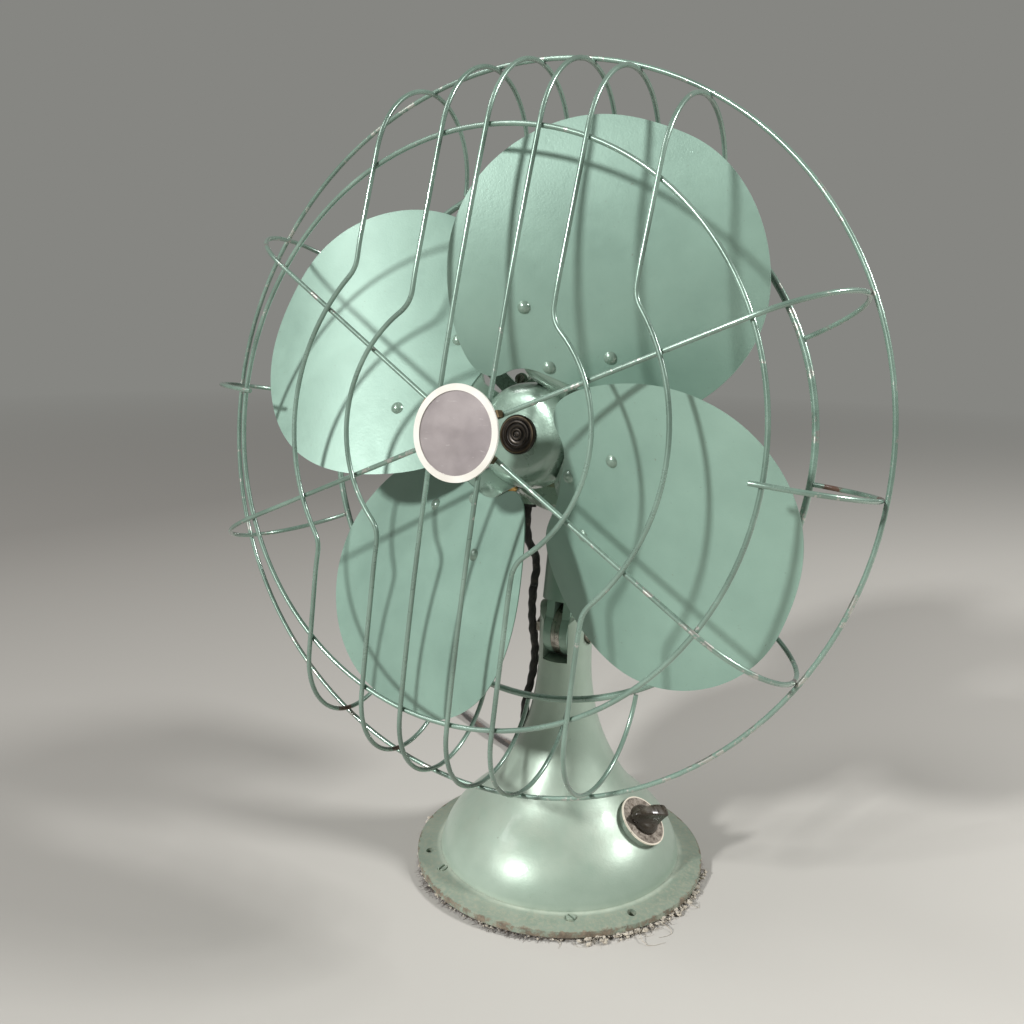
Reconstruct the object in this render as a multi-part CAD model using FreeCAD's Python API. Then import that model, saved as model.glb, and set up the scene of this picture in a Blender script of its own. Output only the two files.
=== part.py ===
"""Oscillating desk fan: weighted base, tilting neck, swinging motor head, wire guard, four blades.

Millimetres, +Z up. The origin is the middle of the base's underside, on the surface it stands on.
The head faces -Y and +X is on the right of somebody who faces the fan. Everything above the tilt
pivot is built upright and then leaned back about that pivot. A station is a distance forward (-Y)
of the upright stem's axis.
"""
import os
from math import acos, asin, atan, atan2, cos, pi, radians, sin, sqrt, tan

import FreeCAD
import Part

# ---------------------------------------------------------------- fits
RUNNING = 0.05          # radial gap of a shaft that turns in its hole
SIDE_GAP = 0.2          # gap between flat faces that slide past each other
LOOSE = 0.3             # gap between parts that move and never touch

# ---------------------------------------------------------------- base
FELT_R = 104.8
FELT_HOLE_CLEARANCE = 1.2
FELT_T = 3.5
COVER_R = 103.5
COVER_T = 1.2
COVER_GAP = 0.3
FLANGE_R = 107.9
FLANGE_EDGE_H = 4.4
BELL_FOOT_R = 90.0
BELL_FOOT_Z = 11.0
BELL_SHOULDER = (88.0, 20.0)
BELL_ROUND = (77.0, 39.0)
BELL_SLOPE = (57.0, 58.0)
BELL_WAIST = (39.0, 84.0)
BELL_THROAT = (27.0, 112.0)
BELL_TOP = (20.5, 144.0)
COLUMN_R = 19.3
COLUMN_FOOT_Z = 165.0
WALL_SIDE = 5.4         # wall of the bell measured level
BORE_R = 8.0
BORE_TOP_Z = 150.0
BASE_SCREW_R = 1.8
BASE_SCREW_HEAD_R = 3.4
BASE_SCREW_HEAD_H = 1.6
BASE_SCREW_PROUD = 0.4
BASE_SCREW_SLOT_TURN = 35.0
BASE_SCREW_ORBIT = 95.0
BASE_SCREW_ANGLES = (-36.9, 31.8, 150.0)
MOUNT_HOLE_R = 3.25
MOUNT_ORBIT = 98.5
MOUNT_ANGLES = (57.4, -52.6, 182.4)

# ---------------------------------------------------------------- speed switch on the base
DIAL_CENTRE = (68.9, -5.3, 51.2)
DIAL_AZIMUTH = 86.0     # from the front toward the right
DIAL_LEAN = 49.0        # of the dial's normal above level
DIAL_R = 18.9
DIAL_T = 1.2
PAD_R = 17.6
PAD_DEPTH = 9.0
PAD_WALL = 5.0
BUSH_R = 4.6
SWITCH_NUT_R = 6.0
SWITCH_NUT_H = 2.0
SWITCH_SHAFT_R = 3.0
SWITCH_BODY_R = 15.0
SWITCH_BODY_L = 18.0
SWITCH_FLOOR = 6.0      # thickness of the switch body under its shaft's bore
SHAFT_END_GAP = 0.5
KNOB_SKIRT_R = 11.5
KNOB_SKIRT_H = 5.5
KNOB_DRAFT = 1.5
KNOB_GAP = 0.4          # between the dial and the knob's skirt
KNOB_TAIL = 11.34       # the grip bar's reach behind the shaft
KNOB_NOSE = 15.66       # and toward the pointed end
KNOB_TAPER_AT = 8.61
KNOB_TIP_W = 1.2
KNOB_BAR_FOOT = 2.0
KNOB_WIDTH = 8.0
KNOB_TOP = 17.0
KNOB_ROOF = 3.0         # over the shaft's end
KNOB_RECESS_R = 7.4
KNOB_POINTS_AT = 150.0  # around the dial, from level rearward toward uphill
KNOB_SCREW_R = 1.6
KNOB_SCREW_L = 1.6
KNOB_SCREW_DROP = 5.5   # below the knob's top

# ---------------------------------------------------------------- tilt pivot
PIVOT_Z = 183.0
HEAD_LEAN = 9.26        # degrees the head is tilted up at rest
SLOT_W = 19.5
SLOT_FLOOR_Z = 163.5
TONGUE_R = 18.5
LEAF_INNER_X = 3.4
DISC_SPLIT = 0.1        # half of the gap between the two friction discs
PIVOT_BOLT_R = 4.0
PIVOT_SEAT_X = 17.5
PIVOT_SEAT_R = 7.5
PIVOT_HEAD_R = 6.5
PIVOT_HEAD_H = 4.0
PIVOT_SLOT_TURN = 36.87
SCREWDRIVER_SLOT_W = 1.6
SCREWDRIVER_SLOT_D = 1.5
PIVOT_NUT_AF = 11.0
PIVOT_NUT_H = 4.0

# ---------------------------------------------------------------- neck and swivel
NECK_R = 19.3
NECK_FOOT_Z = 205.0
NECK_TOP_Z = 252.0
LEAF_HALF_DEPTH = 16.0
LEAF_ROOT = 1.0         # how far the leaves run into the stem
SPINDLE_R = 7.0
SPINDLE_SEAT_Z = 230.0
SPINDLE_TOP_Z = 269.5
WASHER_R = 16.0
WASHER_T = 1.0
AXIAL_PLAY = 0.1
LUG_X = 30.0
LUG_R = 7.0
LUG_BOTTOM_Z = 243.3
LUG_T = 4.7
LINK_T = 3.0
LINK_W = 9.0
LINK_EYE_R = 7.0
LINK_PIN_R = 3.0
LINK_PIN_HEAD_R = 5.5
LINK_PIN_HEAD_H = 2.0

# ---------------------------------------------------------------- motor
AXIS_Z = 321.4          # fan axis above the table with the head upright
MOTOR_R = 52.0
MOTOR_WALL = 4.0
MOTOR_JOINT_Y = -30.0
MOTOR_BACK_Y = 62.0
MOTOR_ROUND = 12.0
COVER_FRONT_Y = -48.0
COVER_NOSE_R = 34.0
COVER_DRAFT = 6.0
COVER_STEP = 4.0
BOSS_R = 17.0
EAR_R = 5.0
EAR_ORBIT = 52.5
EAR_SCREW_ORBIT = 53.5
EAR_SCREW_SHORT = 1.0   # the hole runs on past the screw's end
EAR_ANGLES = (45.0, 135.0, 225.0, 315.0)
EAR_FRONT_Y = -37.0
EAR_BACK_Y = -20.0
COVER_SCREW_R = 1.9
COVER_SCREW_HEAD_R = 3.3
COVER_SCREW_HEAD_H = 2.2
STATOR_BORE_R = 29.5
STATOR_Y = (-18.0, 34.0)
WINDING_R = (32.0, 45.0)
WINDING_L = 8.0
ROTOR_R = 29.0
ROTOR_Y = (-17.0, 33.0)
SHAFT_R = 5.0
SHAFT_FRONT_STATION = 95.0
BEARING_R = 9.0
BEARING_HUB_R = 13.0
BEARING_L = 16.0
FRONT_BEARING_Y = -47.0
REAR_BEARING_Y = 44.0
OIL_CUP_R = 3.5
OIL_CUP_H = 8.0
OIL_TUBE_R = 1.6
OIL_TUBE_IN_CUP = 1.0
LEAD_EXIT = (-30.0, -22.0)
LEAD_BOSS_R = 7.0
LEAD_BUSH_R = 5.0
LEAD_BUSH_END_Z = 270.0
LEAD_BUSH_INSIDE = 8.0
LEAD_BUSH_LIP = 1.2
LEAD_BOSS_END_Z = 272.0
LEAD_D = 6.4
LEAD_HOLE_BACK = 10.0    # how far inside the lead's end its hole starts

# ---------------------------------------------------------------- oscillator
WORM_R = 6.0
WORM_Y = (76.0, 103.0)
WORM_CORE_R = 4.6
WORM_PITCH = 3.77
WORM_CREST = (0.3, 0.6)  # shares of the pitch between which a thread is at full height
WHEEL_X = 30.0
WHEEL_Y = 89.0
WHEEL_R = 23.7
WHEEL_T = 8.0
WHEEL_TEETH = 40
TOOTH_DEPTH = 1.6
TOOTH_CUT_PAST = 1.0
CRANK_SHAFT_R = 4.0
CRANK_DISC_R = 20.0
CRANK_DISC_Z = 243.7
CRANK_DISC_T = 4.0
CRANK_THROW = 15.0
CRANK_PIN_R = 2.9
CASE_BACK_Y = 120.0
CASE_LEFT_X = -14.0
CASE_RIGHT_X = 58.0
CASE_BOTTOM_Z = 252.0
CASE_TOP_Z = 346.0
CASE_WALL = 3.0
CASE_ROUND = 8.0
CASE_HUB_L = 20.0       # the crank shaft's bearing, up from the case's floor
CASE_ROOF_HOLE_L = 10.0
CASE_SCREW_R = 1.9
CASE_SCREW_HEAD_R = 3.4
CASE_SCREW_X = (-6.5, 16.0)
CASE_SCREW_RISE = 18.0     # above and below the fan axis
CLUTCH_STEM_R = 2.5
CLUTCH_KNOB_R = 9.0
CLUTCH_KNOB_H = 12.0
CLUTCH_KNOB_ROUND = 2.5
CLUTCH_STEM_IN = 2.0    # how far the stem runs into the knob

# ---------------------------------------------------------------- blades and hub
BLADE_COUNT = 4
BLADE_FIRST_ANGLE = 27.4    # clockwise from the top, seen from the front
BLADE_T = 1.2
BLADE_MID_U = 110.0         # distance out from the fan axis where the sweep is measured
BLADE_STATION = 117.0
BLADE_PITCH = 0.404         # fall per mm across the blade at the middle
BLADE_TWIST = 0.213         # change of that pitch over a span outward
BLADE_SPAN = 100.0          # length over which the rise, twist and dish are given
BLADE_RISE = 1.6            # forward over a span outward
BLADE_CUP_ACROSS = 7.9      # dish over a span
BLADE_CUP_ALONG = 10.9
BLADE_OUTLINE = ((202, 0), (184, 58), (135, 89), (84, 83), (58, 67), (44, 46), (45.5, 22), (43.5, 4),
                 (41, -9), (34.5, -18), (26, -24.5), (23.7, -33), (29.5, -45), (46, -60.5), (84, -82),
                 (134, -86), (182, -57))
BLADE_SHEET_U = (10.0, 215.0)     # the curved sheet that a blade is cut from
BLADE_SHEET_V = (-100.0, 100.0)
SHEET_STEPS = 24
RIVET_PLACES = ((48.0, 0.0), (72.0, 27.0), (72.0, -27.0))
RIVET_R = 4.0
RIVET_DOME_H = 2.4
RIVET_SHANK_R = 2.0
RIVET_TAIL_R = 3.2
RIVET_TAIL_H = 1.2
SHEET_GAP = 0.06            # paint between riveted sheets
ARM_T = 2.2
ARM_ROOT_U = 30.0
ARM_WAIST_U = 40.0
ARM_TIP_U = 80.0
ARM_ROOT_HALF = 11.0
ARM_WAIST_HALF = 13.5
ARM_TIP_HALF = 35.0
ARM_CORNER = 14.0           # length of the tip's clipped corners
ARM_CORNER_IN = 4.0
ARM_CORNER_SIDE = 6.0
ARM_SHEET_U = (26.0, 90.0)
ARM_SHEET_V = (-50.0, 50.0)
ARM_DIP = 24.0              # how far the arm's root lies behind the blade's surface
ARM_DIP_END_U = 43.0
HUB_R = 34.4
HUB_RIM_STATION = 84.0
HUB_FACE_STATION = 101.4
HUB_SKIN = 3.0
HUB_CROWN = (20.0, 0.4)     # radius and drop behind the face, from the nose to the rim
HUB_BROW = (28.0, 2.2)
HUB_SHOULDER = (31.8, 5.2)
HUB_SIDE = (33.6, 10.5)
HUB_BARREL_R = 11.0
HUB_BACK_STATION = 66.0
NOSE_R = 12.6
NOSE_STATION = 104.6
NOSE_FACE = ((0.0, 1.0), (2.1, 1.0), (2.5, 0.2), (3.6, 0.2), (4.3, 1.0), (7.1, 0.8), (7.7, 0.0), (8.9, 0.0),
             (9.5, 0.8), (10.5, 0.8), (10.9, 0.4), (11.7, 0.4))
NOSE_BEVEL = 1.3
HUB_SCREW_ANGLE = 203.0
HUB_SCREW_R = 3.0
HUB_SCREW_LENGTH = 32.0
HUB_SCREW_STATION = 77.5
HUB_SCREW_HEAD_R = 4.7
HUB_SCREW_HEAD_H = 3.4

# ---------------------------------------------------------------- guard
GUARD_ROLL = 3.67
OUTER_RING_R = 227.0
OUTER_RING_STATION = 110.7
RING_WIRE_R = 1.5
FRONT_RING_R = 174.2
FRONT_RING_STATION = 161.5
REAR_RING_R = 175.3
REAR_RING_STATION = 60.6
REAR_WIRE_R = 2.2
WIRE_R = 1.5
STRAIGHT_X = 17.0
STRAIGHT_RISE = 8.0
INNER_X = 47.0
INNER_BOW_R = 82.0
INNER_PLANE = 170.7
OUTER_X = 92.0
OUTER_BOW_R = 125.0
OUTER_PLANE = 168.6
BEND_R = 18.0
KNEE_R = 150.0
KNEE_ABOVE_BEND = 10.0
SPOKE_ANGLES = (62.0, 118.0, 242.0, 298.0)
SPOKE_INNER_R = 27.6
SPOKE_INNER_STATION = 167.9
SIDE_ANGLES = (90.0, 270.0)
SIDE_FOOT_DROP = 6.2        # how far in from the front ring a side loop ends
BRACKET_ANGLES = (35.0, 125.0, 215.0, 305.0)
BRACKET_W = 11.0
BRACKET_T = 2.0
BRACKET_FOOT_R = 20.0
BRACKET_LAP = 14.0          # length that lies behind the rear ring, inside it
BRACKET_TIP = 5.0           # and past it
BRACKET_SCREW_ORBIT = 26.0
BRACKET_SCREW_R = 2.0
BRACKET_SCREW_HEAD_R = 3.6
BRACKET_SCREW_HEAD_H = 2.4
BADGE_R = 28.2
BADGE_DROP = 1.8        # of the badge's middle under the fan axis
BADGE_RIM_W = 3.9
BADGE_RIM_H = 1.6
BADGE_FACE_T = 0.9
BADGE_BACK_R = 27.3
BADGE_BACK_T = 1.2
BADGE_TAB_W = 4.2
BADGE_TAB_L = 3.5
BADGE_TAB_ROOT = 2.2

# ---------------------------------------------------------------- power cord
CORD_D = 7.0
CORD_EXIT_ANGLE = -143.0
CORD_EXIT_Z = 18.0
CORD_BUSH_R = 6.5
CORD_BUSH_L = 10.0
CORD_BUSH_PROUD = 2.5
RELIEF_R = 5.6
RELIEF_TIP_R = 4.2
RELIEF_L = 24.0
COIL_CENTRE = (-272.0, 226.0)
COIL_R = 45.0
COIL_TURNS_WIDE = 2
COIL_TURNS_HIGH = 3
PLUG_W = 26.0
PLUG_H = 18.0
PLUG_L = 30.0
PLUG_ROUND = 4.0
TAIL_ANGLE = 150.0      # where the cord's end leaves the coil, from +X toward +Y
TAIL_L = 30.0           # from there to the plug's neck
PLUG_NECK_R = 5.5
PLUG_NECK_L = 10.0
BLADE_PIN_W = 6.4
BLADE_PIN_T = 1.5
BLADE_PIN_L = 17.0
BLADE_PIN_GAP = 12.7
CORD_ROUTE = ((-80.94, 107.42, 18.0), (-95.0, 122.0, 10.0), (-114.0, 133.0, 4.4), (-136.0, 142.0, 3.5),
              (-160.0, 153.5, 3.5), (-186.0, 168.0, 3.5), (-214.0, 184.0, 3.5), (-243.0, 186.0, 3.5))
LEAD_ROUTE = ((-30.0, -11.25, 250.69), (-24.2, 0.2, 232.0), (-26.2, -4.4, 209.0), (-25.8, -5.0, 185.0),
              (-24.8, 1.0, 162.0), (-26.6, -1.0, 139.0), (-30.4, -6.6, 116.0), (-26.0, -12.0, 93.0))


# ================================================================ helpers
def vec(x, y, z):
    return FreeCAD.Vector(x, y, z)


X_AXIS = vec(1, 0, 0)
Y_AXIS = vec(0, 1, 0)
Z_AXIS = vec(0, 0, 1)


def cylinder(radius, length, base, direction=Z_AXIS):
    return Part.makeCylinder(radius, length, base, direction)


def tube(outer, inner, length, base, direction=Z_AXIS):
    return cylinder(outer, length, base, direction).cut(cylinder(inner, length, base, direction))


def box(x_range, y_range, z_range):
    sizes = [high - low for low, high in (x_range, y_range, z_range)]
    return Part.makeBox(*sizes, vec(x_range[0], y_range[0], z_range[0]))


def fuse(first, *others):
    return first.multiFuse(list(others)).removeSplitter()


def polygon(points):
    return Part.Wire(Part.makePolygon(list(points) + [points[0]]))


def turned(profile):
    """A solid of revolution about Z from (radius, height) corners."""
    face = Part.Face(polygon([vec(r, 0, z) for r, z in profile]))
    return face.revolve(vec(0, 0, 0), Z_AXIS, 360)


def on_fan_axis(shape):
    """Turns a solid made about Z, its height the station, onto the upright head's fan axis."""
    placed = shape.copy()
    placed.rotate(vec(0, 0, 0), X_AXIS, 90)
    placed.translate(vec(0, 0, AXIS_Z))
    return placed


def turned_on_fan_axis(profile):
    """A solid of revolution about the upright head's fan axis from (radius, y) corners."""
    return on_fan_axis(turned([(r, -y) for r, y in profile]))


def round_the_fan_axis(angle, orbit, y):
    """A point at an angle clockwise from the top, seen from the front."""
    return vec(orbit * sin(radians(angle)), y, AXIS_Z + orbit * cos(radians(angle)))


def on_base(angle, orbit, z):
    """A point on the base at an angle from the front toward the right."""
    return vec(orbit * sin(radians(angle)), -orbit * cos(radians(angle)), z)


def lean_back(shape):
    """Moves an upright piece of the head or neck to where it stands with the head tilted up."""
    leaned = shape.copy()
    leaned.rotate(vec(0, 0, PIVOT_Z), X_AXIS, -HEAD_LEAN)
    return leaned


def hang_guard(shape):
    """Moves a piece of the guard from its own frame, centred on the fan axis, to the head."""
    hung = shape.copy()
    hung.rotate(vec(0, 0, 0), Y_AXIS, GUARD_ROLL)
    hung.translate(vec(0, 0, AXIS_Z))
    return lean_back(hung)


def hexagon(across_flats, height, base, direction):
    corner = across_flats / 2 / cos(radians(30))
    points = [vec(corner * cos(radians(60 * i)), corner * sin(radians(60 * i)), 0) for i in range(6)]
    prism = Part.Face(polygon(points)).extrude(vec(0, 0, height))
    prism.Placement = FreeCAD.Placement(base, FreeCAD.Rotation(Z_AXIS, direction))
    return prism


def line_edge(start, end):
    return Part.LineSegment(start, end).toShape()


def arc_edge(start, middle, end):
    return Part.Arc(start, middle, end).toShape()


def pipe(edges, radius):
    """A round wire along a chain of tangent lines and arcs."""
    path = Part.Wire(Part.__sortEdges__(edges))
    first = path.OrderedEdges[0]
    start = path.OrderedVertexes[0].Point
    at_first = first.valueAt(first.FirstParameter).distanceToPoint(start) < 1e-5
    tangent = first.tangentAt(first.FirstParameter if at_first else first.LastParameter)
    profile = Part.Wire(Part.makeCircle(radius, start, tangent))
    return path.makePipeShell([profile], True, False)


def cord_tube(points, diameter, name):
    """Straight runs joined by tangent arcs as large as the runs allow."""
    points = [vec(*p) for p in points]
    edges = []
    radii = []
    run_start = points[0]
    for before, corner, after in zip(points, points[1:], points[2:]):
        inward = (before - corner).normalize()
        outward = (after - corner).normalize()
        half_turn = (pi - acos(inward.dot(outward))) / 2
        reach = 0.45 * min(before.distanceToPoint(corner), after.distanceToPoint(corner))
        radius = reach / tan(half_turn)
        arc_start = corner + inward * reach
        arc_end = corner + outward * reach
        centre_way = (inward + outward).normalize()
        middle = corner + centre_way * (radius / cos(half_turn) - radius)
        edges.append(line_edge(run_start, arc_start))
        edges.append(arc_edge(arc_start, middle, arc_end))
        radii.append(round(radius, 1))
        run_start = arc_end
    edges.append(line_edge(run_start, points[-1]))
    solid = pipe(edges, diameter / 2)
    length = sum(edge.Length for edge in edges)
    share = solid.Volume / (pi * diameter ** 2 / 4 * length)
    print(name, "length", round(length, 1), "radii", radii, "volume/section*length", round(share, 4))
    return solid


# ================================================================ base
COVER_TOP_Z = FELT_T + COVER_T
FLANGE_TOP_Z = FELT_T + FLANGE_EDGE_H


def flange_height(orbit):
    share = (FLANGE_R - orbit) / (FLANGE_R - BELL_FOOT_R)
    return FLANGE_TOP_Z + share * (BELL_FOOT_Z - FLANGE_TOP_Z)


def bell_curve(inset):
    """The bell's profile, moved level toward the axis by the inset."""
    shape_points = (BELL_SHOULDER, BELL_ROUND, BELL_SLOPE, BELL_WAIST, BELL_THROAT, BELL_TOP)
    points = [(BELL_FOOT_R, BELL_FOOT_Z), *shape_points, (COLUMN_R, COLUMN_FOOT_Z)]
    if inset:
        points[-1] = (BORE_R + inset, BORE_TOP_Z)
    curve = Part.BSplineCurve()
    curve.interpolate([vec(r - inset, 0, z) for r, z in points])
    return curve


def dial_frame():
    """The dial's centre, its normal, and the level direction in its face that points rearward."""
    azimuth = radians(DIAL_AZIMUTH)
    lean = radians(DIAL_LEAN)
    normal = vec(cos(lean) * sin(azimuth), -cos(lean) * cos(azimuth), sin(lean))
    level = vec(cos(azimuth), sin(azimuth), 0)
    return vec(*DIAL_CENTRE), normal, level


def revolved_outline(edges):
    return Part.Face(Part.Wire(Part.__sortEdges__(edges))).revolve(vec(0, 0, 0), Z_AXIS, 360)


def chain(points):
    places = [vec(r, 0, z) for r, z in points]
    return [line_edge(a, b) for a, b in zip(places, places[1:])]


def bell_outside():
    edges = [bell_curve(0).toShape()]
    edges += chain([(COLUMN_R, COLUMN_FOOT_Z), (COLUMN_R, PIVOT_Z), (0, PIVOT_Z), (0, FELT_T),
                    (FLANGE_R, FELT_T), (FLANGE_R, FLANGE_TOP_Z), (BELL_FOOT_R, BELL_FOOT_Z)])
    return revolved_outline(edges)


def bell_inside():
    rebate_r = COVER_R + COVER_GAP
    foot_r = BELL_FOOT_R - WALL_SIDE
    edges = [bell_curve(WALL_SIDE).toShape()]
    edges += chain([(BORE_R, BORE_TOP_Z), (0, BORE_TOP_Z), (0, FELT_T), (rebate_r, FELT_T),
                    (rebate_r, COVER_TOP_Z), (foot_r, COVER_TOP_Z), (foot_r, BELL_FOOT_Z)])
    return revolved_outline(edges)


def column_cheeks():
    stub = cylinder(COLUMN_R, COLUMN_R, vec(0, 0, PIVOT_Z))
    crown = cylinder(COLUMN_R, 2 * COLUMN_R, vec(-COLUMN_R, 0, PIVOT_Z), X_AXIS)
    return stub.common(crown)


def pivot_cuts():
    half = SLOT_W / 2
    slot = box((-half, half), (-2 * COLUMN_R, 2 * COLUMN_R), (SLOT_FLOOR_Z, PIVOT_Z + 2 * COLUMN_R))
    hole = cylinder(PIVOT_BOLT_R, 4 * COLUMN_R, vec(-2 * COLUMN_R, 0, PIVOT_Z), X_AXIS)
    seats = []
    for side in (-1, 1):
        start = vec(side * PIVOT_SEAT_X, 0, PIVOT_Z)
        seats.append(cylinder(PIVOT_SEAT_R, COLUMN_R, start, X_AXIS * side))
    return [slot, hole, *seats]


def switch_pad():
    centre, normal, level = dial_frame()
    return cylinder(PAD_R, PAD_DEPTH, centre - normal * PAD_DEPTH, normal)


def switch_room():
    """The hollow behind the pad and the hole for the switch's bush."""
    centre, normal, level = dial_frame()
    room_r = SWITCH_BODY_R + COVER_GAP
    room = cylinder(room_r, SWITCH_BODY_L, centre - normal * (PAD_WALL + SWITCH_BODY_L), normal)
    hole = cylinder(BUSH_R, PAD_WALL, centre - normal * PAD_WALL, normal)
    return [room, hole]


def lead_hole():
    inner = vec(*LEAD_ROUTE[-1])
    outer = vec(*LEAD_ROUTE[-2])
    way = (outer - inner).normalize()
    start = inner - way * LEAD_HOLE_BACK
    return cylinder(LEAD_D / 2 + LOOSE, 2 * inner.distanceToPoint(outer), start, way)


def cord_hole():
    start = on_base(CORD_EXIT_ANGLE, BELL_FOOT_R - 4 * WALL_SIDE, CORD_EXIT_Z)
    return cylinder(CORD_BUSH_R, BELL_FOOT_R, start, on_base(CORD_EXIT_ANGLE, 1, 0))


def base_casting():
    body = fuse(bell_outside(), column_cheeks(), switch_pad())
    body = body.cut(bell_inside())
    holes = [*pivot_cuts(), *switch_room(), lead_hole(), cord_hole()]
    for angle in MOUNT_ANGLES:
        holes.append(cylinder(MOUNT_HOLE_R, BELL_FOOT_Z, on_base(angle, MOUNT_ORBIT, FELT_T)))
    for angle in BASE_SCREW_ANGLES:
        holes.append(cylinder(BASE_SCREW_R, BELL_FOOT_Z, on_base(angle, BASE_SCREW_ORBIT, FELT_T)))
        seat_z = flange_height(BASE_SCREW_ORBIT)
        holes.append(cylinder(BASE_SCREW_HEAD_R + COVER_GAP, BELL_FOOT_Z,
                              on_base(angle, BASE_SCREW_ORBIT, seat_z - BASE_SCREW_HEAD_H / 2)))
    return body.cut(Part.makeCompound(holes)).removeSplitter()


def base_felt():
    pad = cylinder(FELT_R, FELT_T, vec(0, 0, 0))
    hole_r = MOUNT_HOLE_R + FELT_HOLE_CLEARANCE
    holes = [cylinder(hole_r, FELT_T, on_base(a, MOUNT_ORBIT, 0)) for a in MOUNT_ANGLES]
    return pad.cut(Part.makeCompound(holes))


def base_cover():
    plate = cylinder(COVER_R, COVER_T, vec(0, 0, FELT_T))
    holes = [cylinder(MOUNT_HOLE_R, COVER_T, on_base(a, MOUNT_ORBIT, FELT_T)) for a in MOUNT_ANGLES]
    holes += [cylinder(BASE_SCREW_R, COVER_T, on_base(a, BASE_SCREW_ORBIT, FELT_T))
              for a in BASE_SCREW_ANGLES]
    return plate.cut(Part.makeCompound(holes))


def slotted_head(radius, height, base, direction, slot_way):
    head = cylinder(radius, height, base, direction)
    slot = Part.makeBox(3 * radius, SCREWDRIVER_SLOT_W, height,
                        vec(-1.5 * radius, -SCREWDRIVER_SLOT_W / 2, 0))
    turn = FreeCAD.Rotation(slot_way, direction.cross(slot_way), direction, "ZXY")
    slot.Placement = FreeCAD.Placement(base + direction * (height - SCREWDRIVER_SLOT_D), turn)
    return head.cut(slot)


def base_screws():
    screws = []
    for angle in BASE_SCREW_ANGLES:
        seat_z = flange_height(BASE_SCREW_ORBIT) - BASE_SCREW_HEAD_H / 2
        foot = on_base(angle, BASE_SCREW_ORBIT, FELT_T)
        shank = cylinder(BASE_SCREW_R, seat_z - FELT_T, foot)
        seat = on_base(angle, BASE_SCREW_ORBIT, seat_z)
        slot_way = on_base(angle + BASE_SCREW_SLOT_TURN, 1, 0)
        head = slotted_head(BASE_SCREW_HEAD_R, BASE_SCREW_HEAD_H + BASE_SCREW_PROUD, seat, Z_AXIS, slot_way)
        screws.append(fuse(shank, head))
    return Part.makeCompound(screws)


def dial_plate():
    centre, normal, level = dial_frame()
    return tube(DIAL_R, BUSH_R, DIAL_T, centre, normal)


def switch_body():
    centre, normal, level = dial_frame()
    back = centre - normal * (PAD_WALL + SWITCH_BODY_L)
    can = cylinder(SWITCH_BODY_R, SWITCH_BODY_L, back, normal)
    return can.cut(cylinder(SWITCH_SHAFT_R + RUNNING, SWITCH_BODY_L, back + normal * SWITCH_FLOOR, normal))


def switch_bush():
    """Threaded bush with its nut: it clamps the switch and the dial to the pad."""
    centre, normal, level = dial_frame()
    top = PAD_WALL + DIAL_T + SWITCH_NUT_H
    bush = cylinder(BUSH_R, top, centre - normal * PAD_WALL, normal)
    nut = hexagon(2 * SWITCH_NUT_R * cos(radians(30)), SWITCH_NUT_H, centre + normal * DIAL_T, normal)
    bore = cylinder(SWITCH_SHAFT_R + RUNNING, top, centre - normal * PAD_WALL, normal)
    return fuse(bush, nut).cut(bore)


def switch_shaft():
    centre, normal, level = dial_frame()
    depth = PAD_WALL + SWITCH_BODY_L - SWITCH_FLOOR - SHAFT_END_GAP
    return cylinder(SWITCH_SHAFT_R, depth + KNOB_TOP - KNOB_ROOF, centre - normal * depth, normal)


def knob_directions():
    centre, normal, level = dial_frame()
    uphill = normal.cross(level)
    angle = radians(KNOB_POINTS_AT)
    pointer = level * cos(angle) + uphill * sin(angle)
    return centre, normal, pointer, normal.cross(pointer)


def knob_screw_place():
    """The set screw stands across the grip bar, in its uphill side, part way up."""
    centre, normal, pointer, across = knob_directions()
    return centre + normal * (KNOB_TOP - KNOB_SCREW_DROP), across * -1


def switch_knob():
    centre, normal, pointer, across = knob_directions()
    bottom = DIAL_T + KNOB_GAP
    seat = centre + normal * bottom
    skirt = Part.makeCone(KNOB_SKIRT_R, KNOB_SKIRT_R - KNOB_DRAFT, KNOB_SKIRT_H, seat, normal)
    half = KNOB_WIDTH / 2
    tip = KNOB_TIP_W / 2
    flat = [(-KNOB_TAIL, -half), (-KNOB_TAIL, half), (KNOB_TAPER_AT, half),
            (KNOB_NOSE, tip), (KNOB_NOSE, -tip), (KNOB_TAPER_AT, -half)]
    points = [seat + normal * KNOB_BAR_FOOT + pointer * p + across * q for p, q in flat]
    bar = Part.Face(polygon(points)).extrude(normal * (KNOB_TOP - bottom - KNOB_BAR_FOOT))
    recess = cylinder(KNOB_RECESS_R, DIAL_T + SWITCH_NUT_H + LOOSE - bottom, seat, normal)
    bore = cylinder(SWITCH_SHAFT_R, KNOB_TOP - KNOB_ROOF, centre, normal)
    place, way = knob_screw_place()
    screw_hole = cylinder(KNOB_SCREW_R, 2 * KNOB_WIDTH, place, way)
    return fuse(skirt, bar).cut(Part.makeCompound([recess, bore, screw_hole]))


def knob_screw():
    place, way = knob_screw_place()
    return cylinder(KNOB_SCREW_R, KNOB_SCREW_L, place + way * SWITCH_SHAFT_R, way)


# ================================================================ tilt pivot
def hinge_bolt():
    """Slotted bolt through both cheeks, its head on the right and its thread in the nut."""
    length = 2 * PIVOT_SEAT_X + PIVOT_NUT_H
    shank = cylinder(PIVOT_BOLT_R, length, vec(-PIVOT_SEAT_X - PIVOT_NUT_H, 0, PIVOT_Z), X_AXIS)
    seat = vec(PIVOT_SEAT_X, 0, PIVOT_Z)
    slot_way = vec(0, cos(radians(PIVOT_SLOT_TURN)), sin(radians(PIVOT_SLOT_TURN)))
    return fuse(shank, slotted_head(PIVOT_HEAD_R, PIVOT_HEAD_H, seat, X_AXIS, slot_way))


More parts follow.
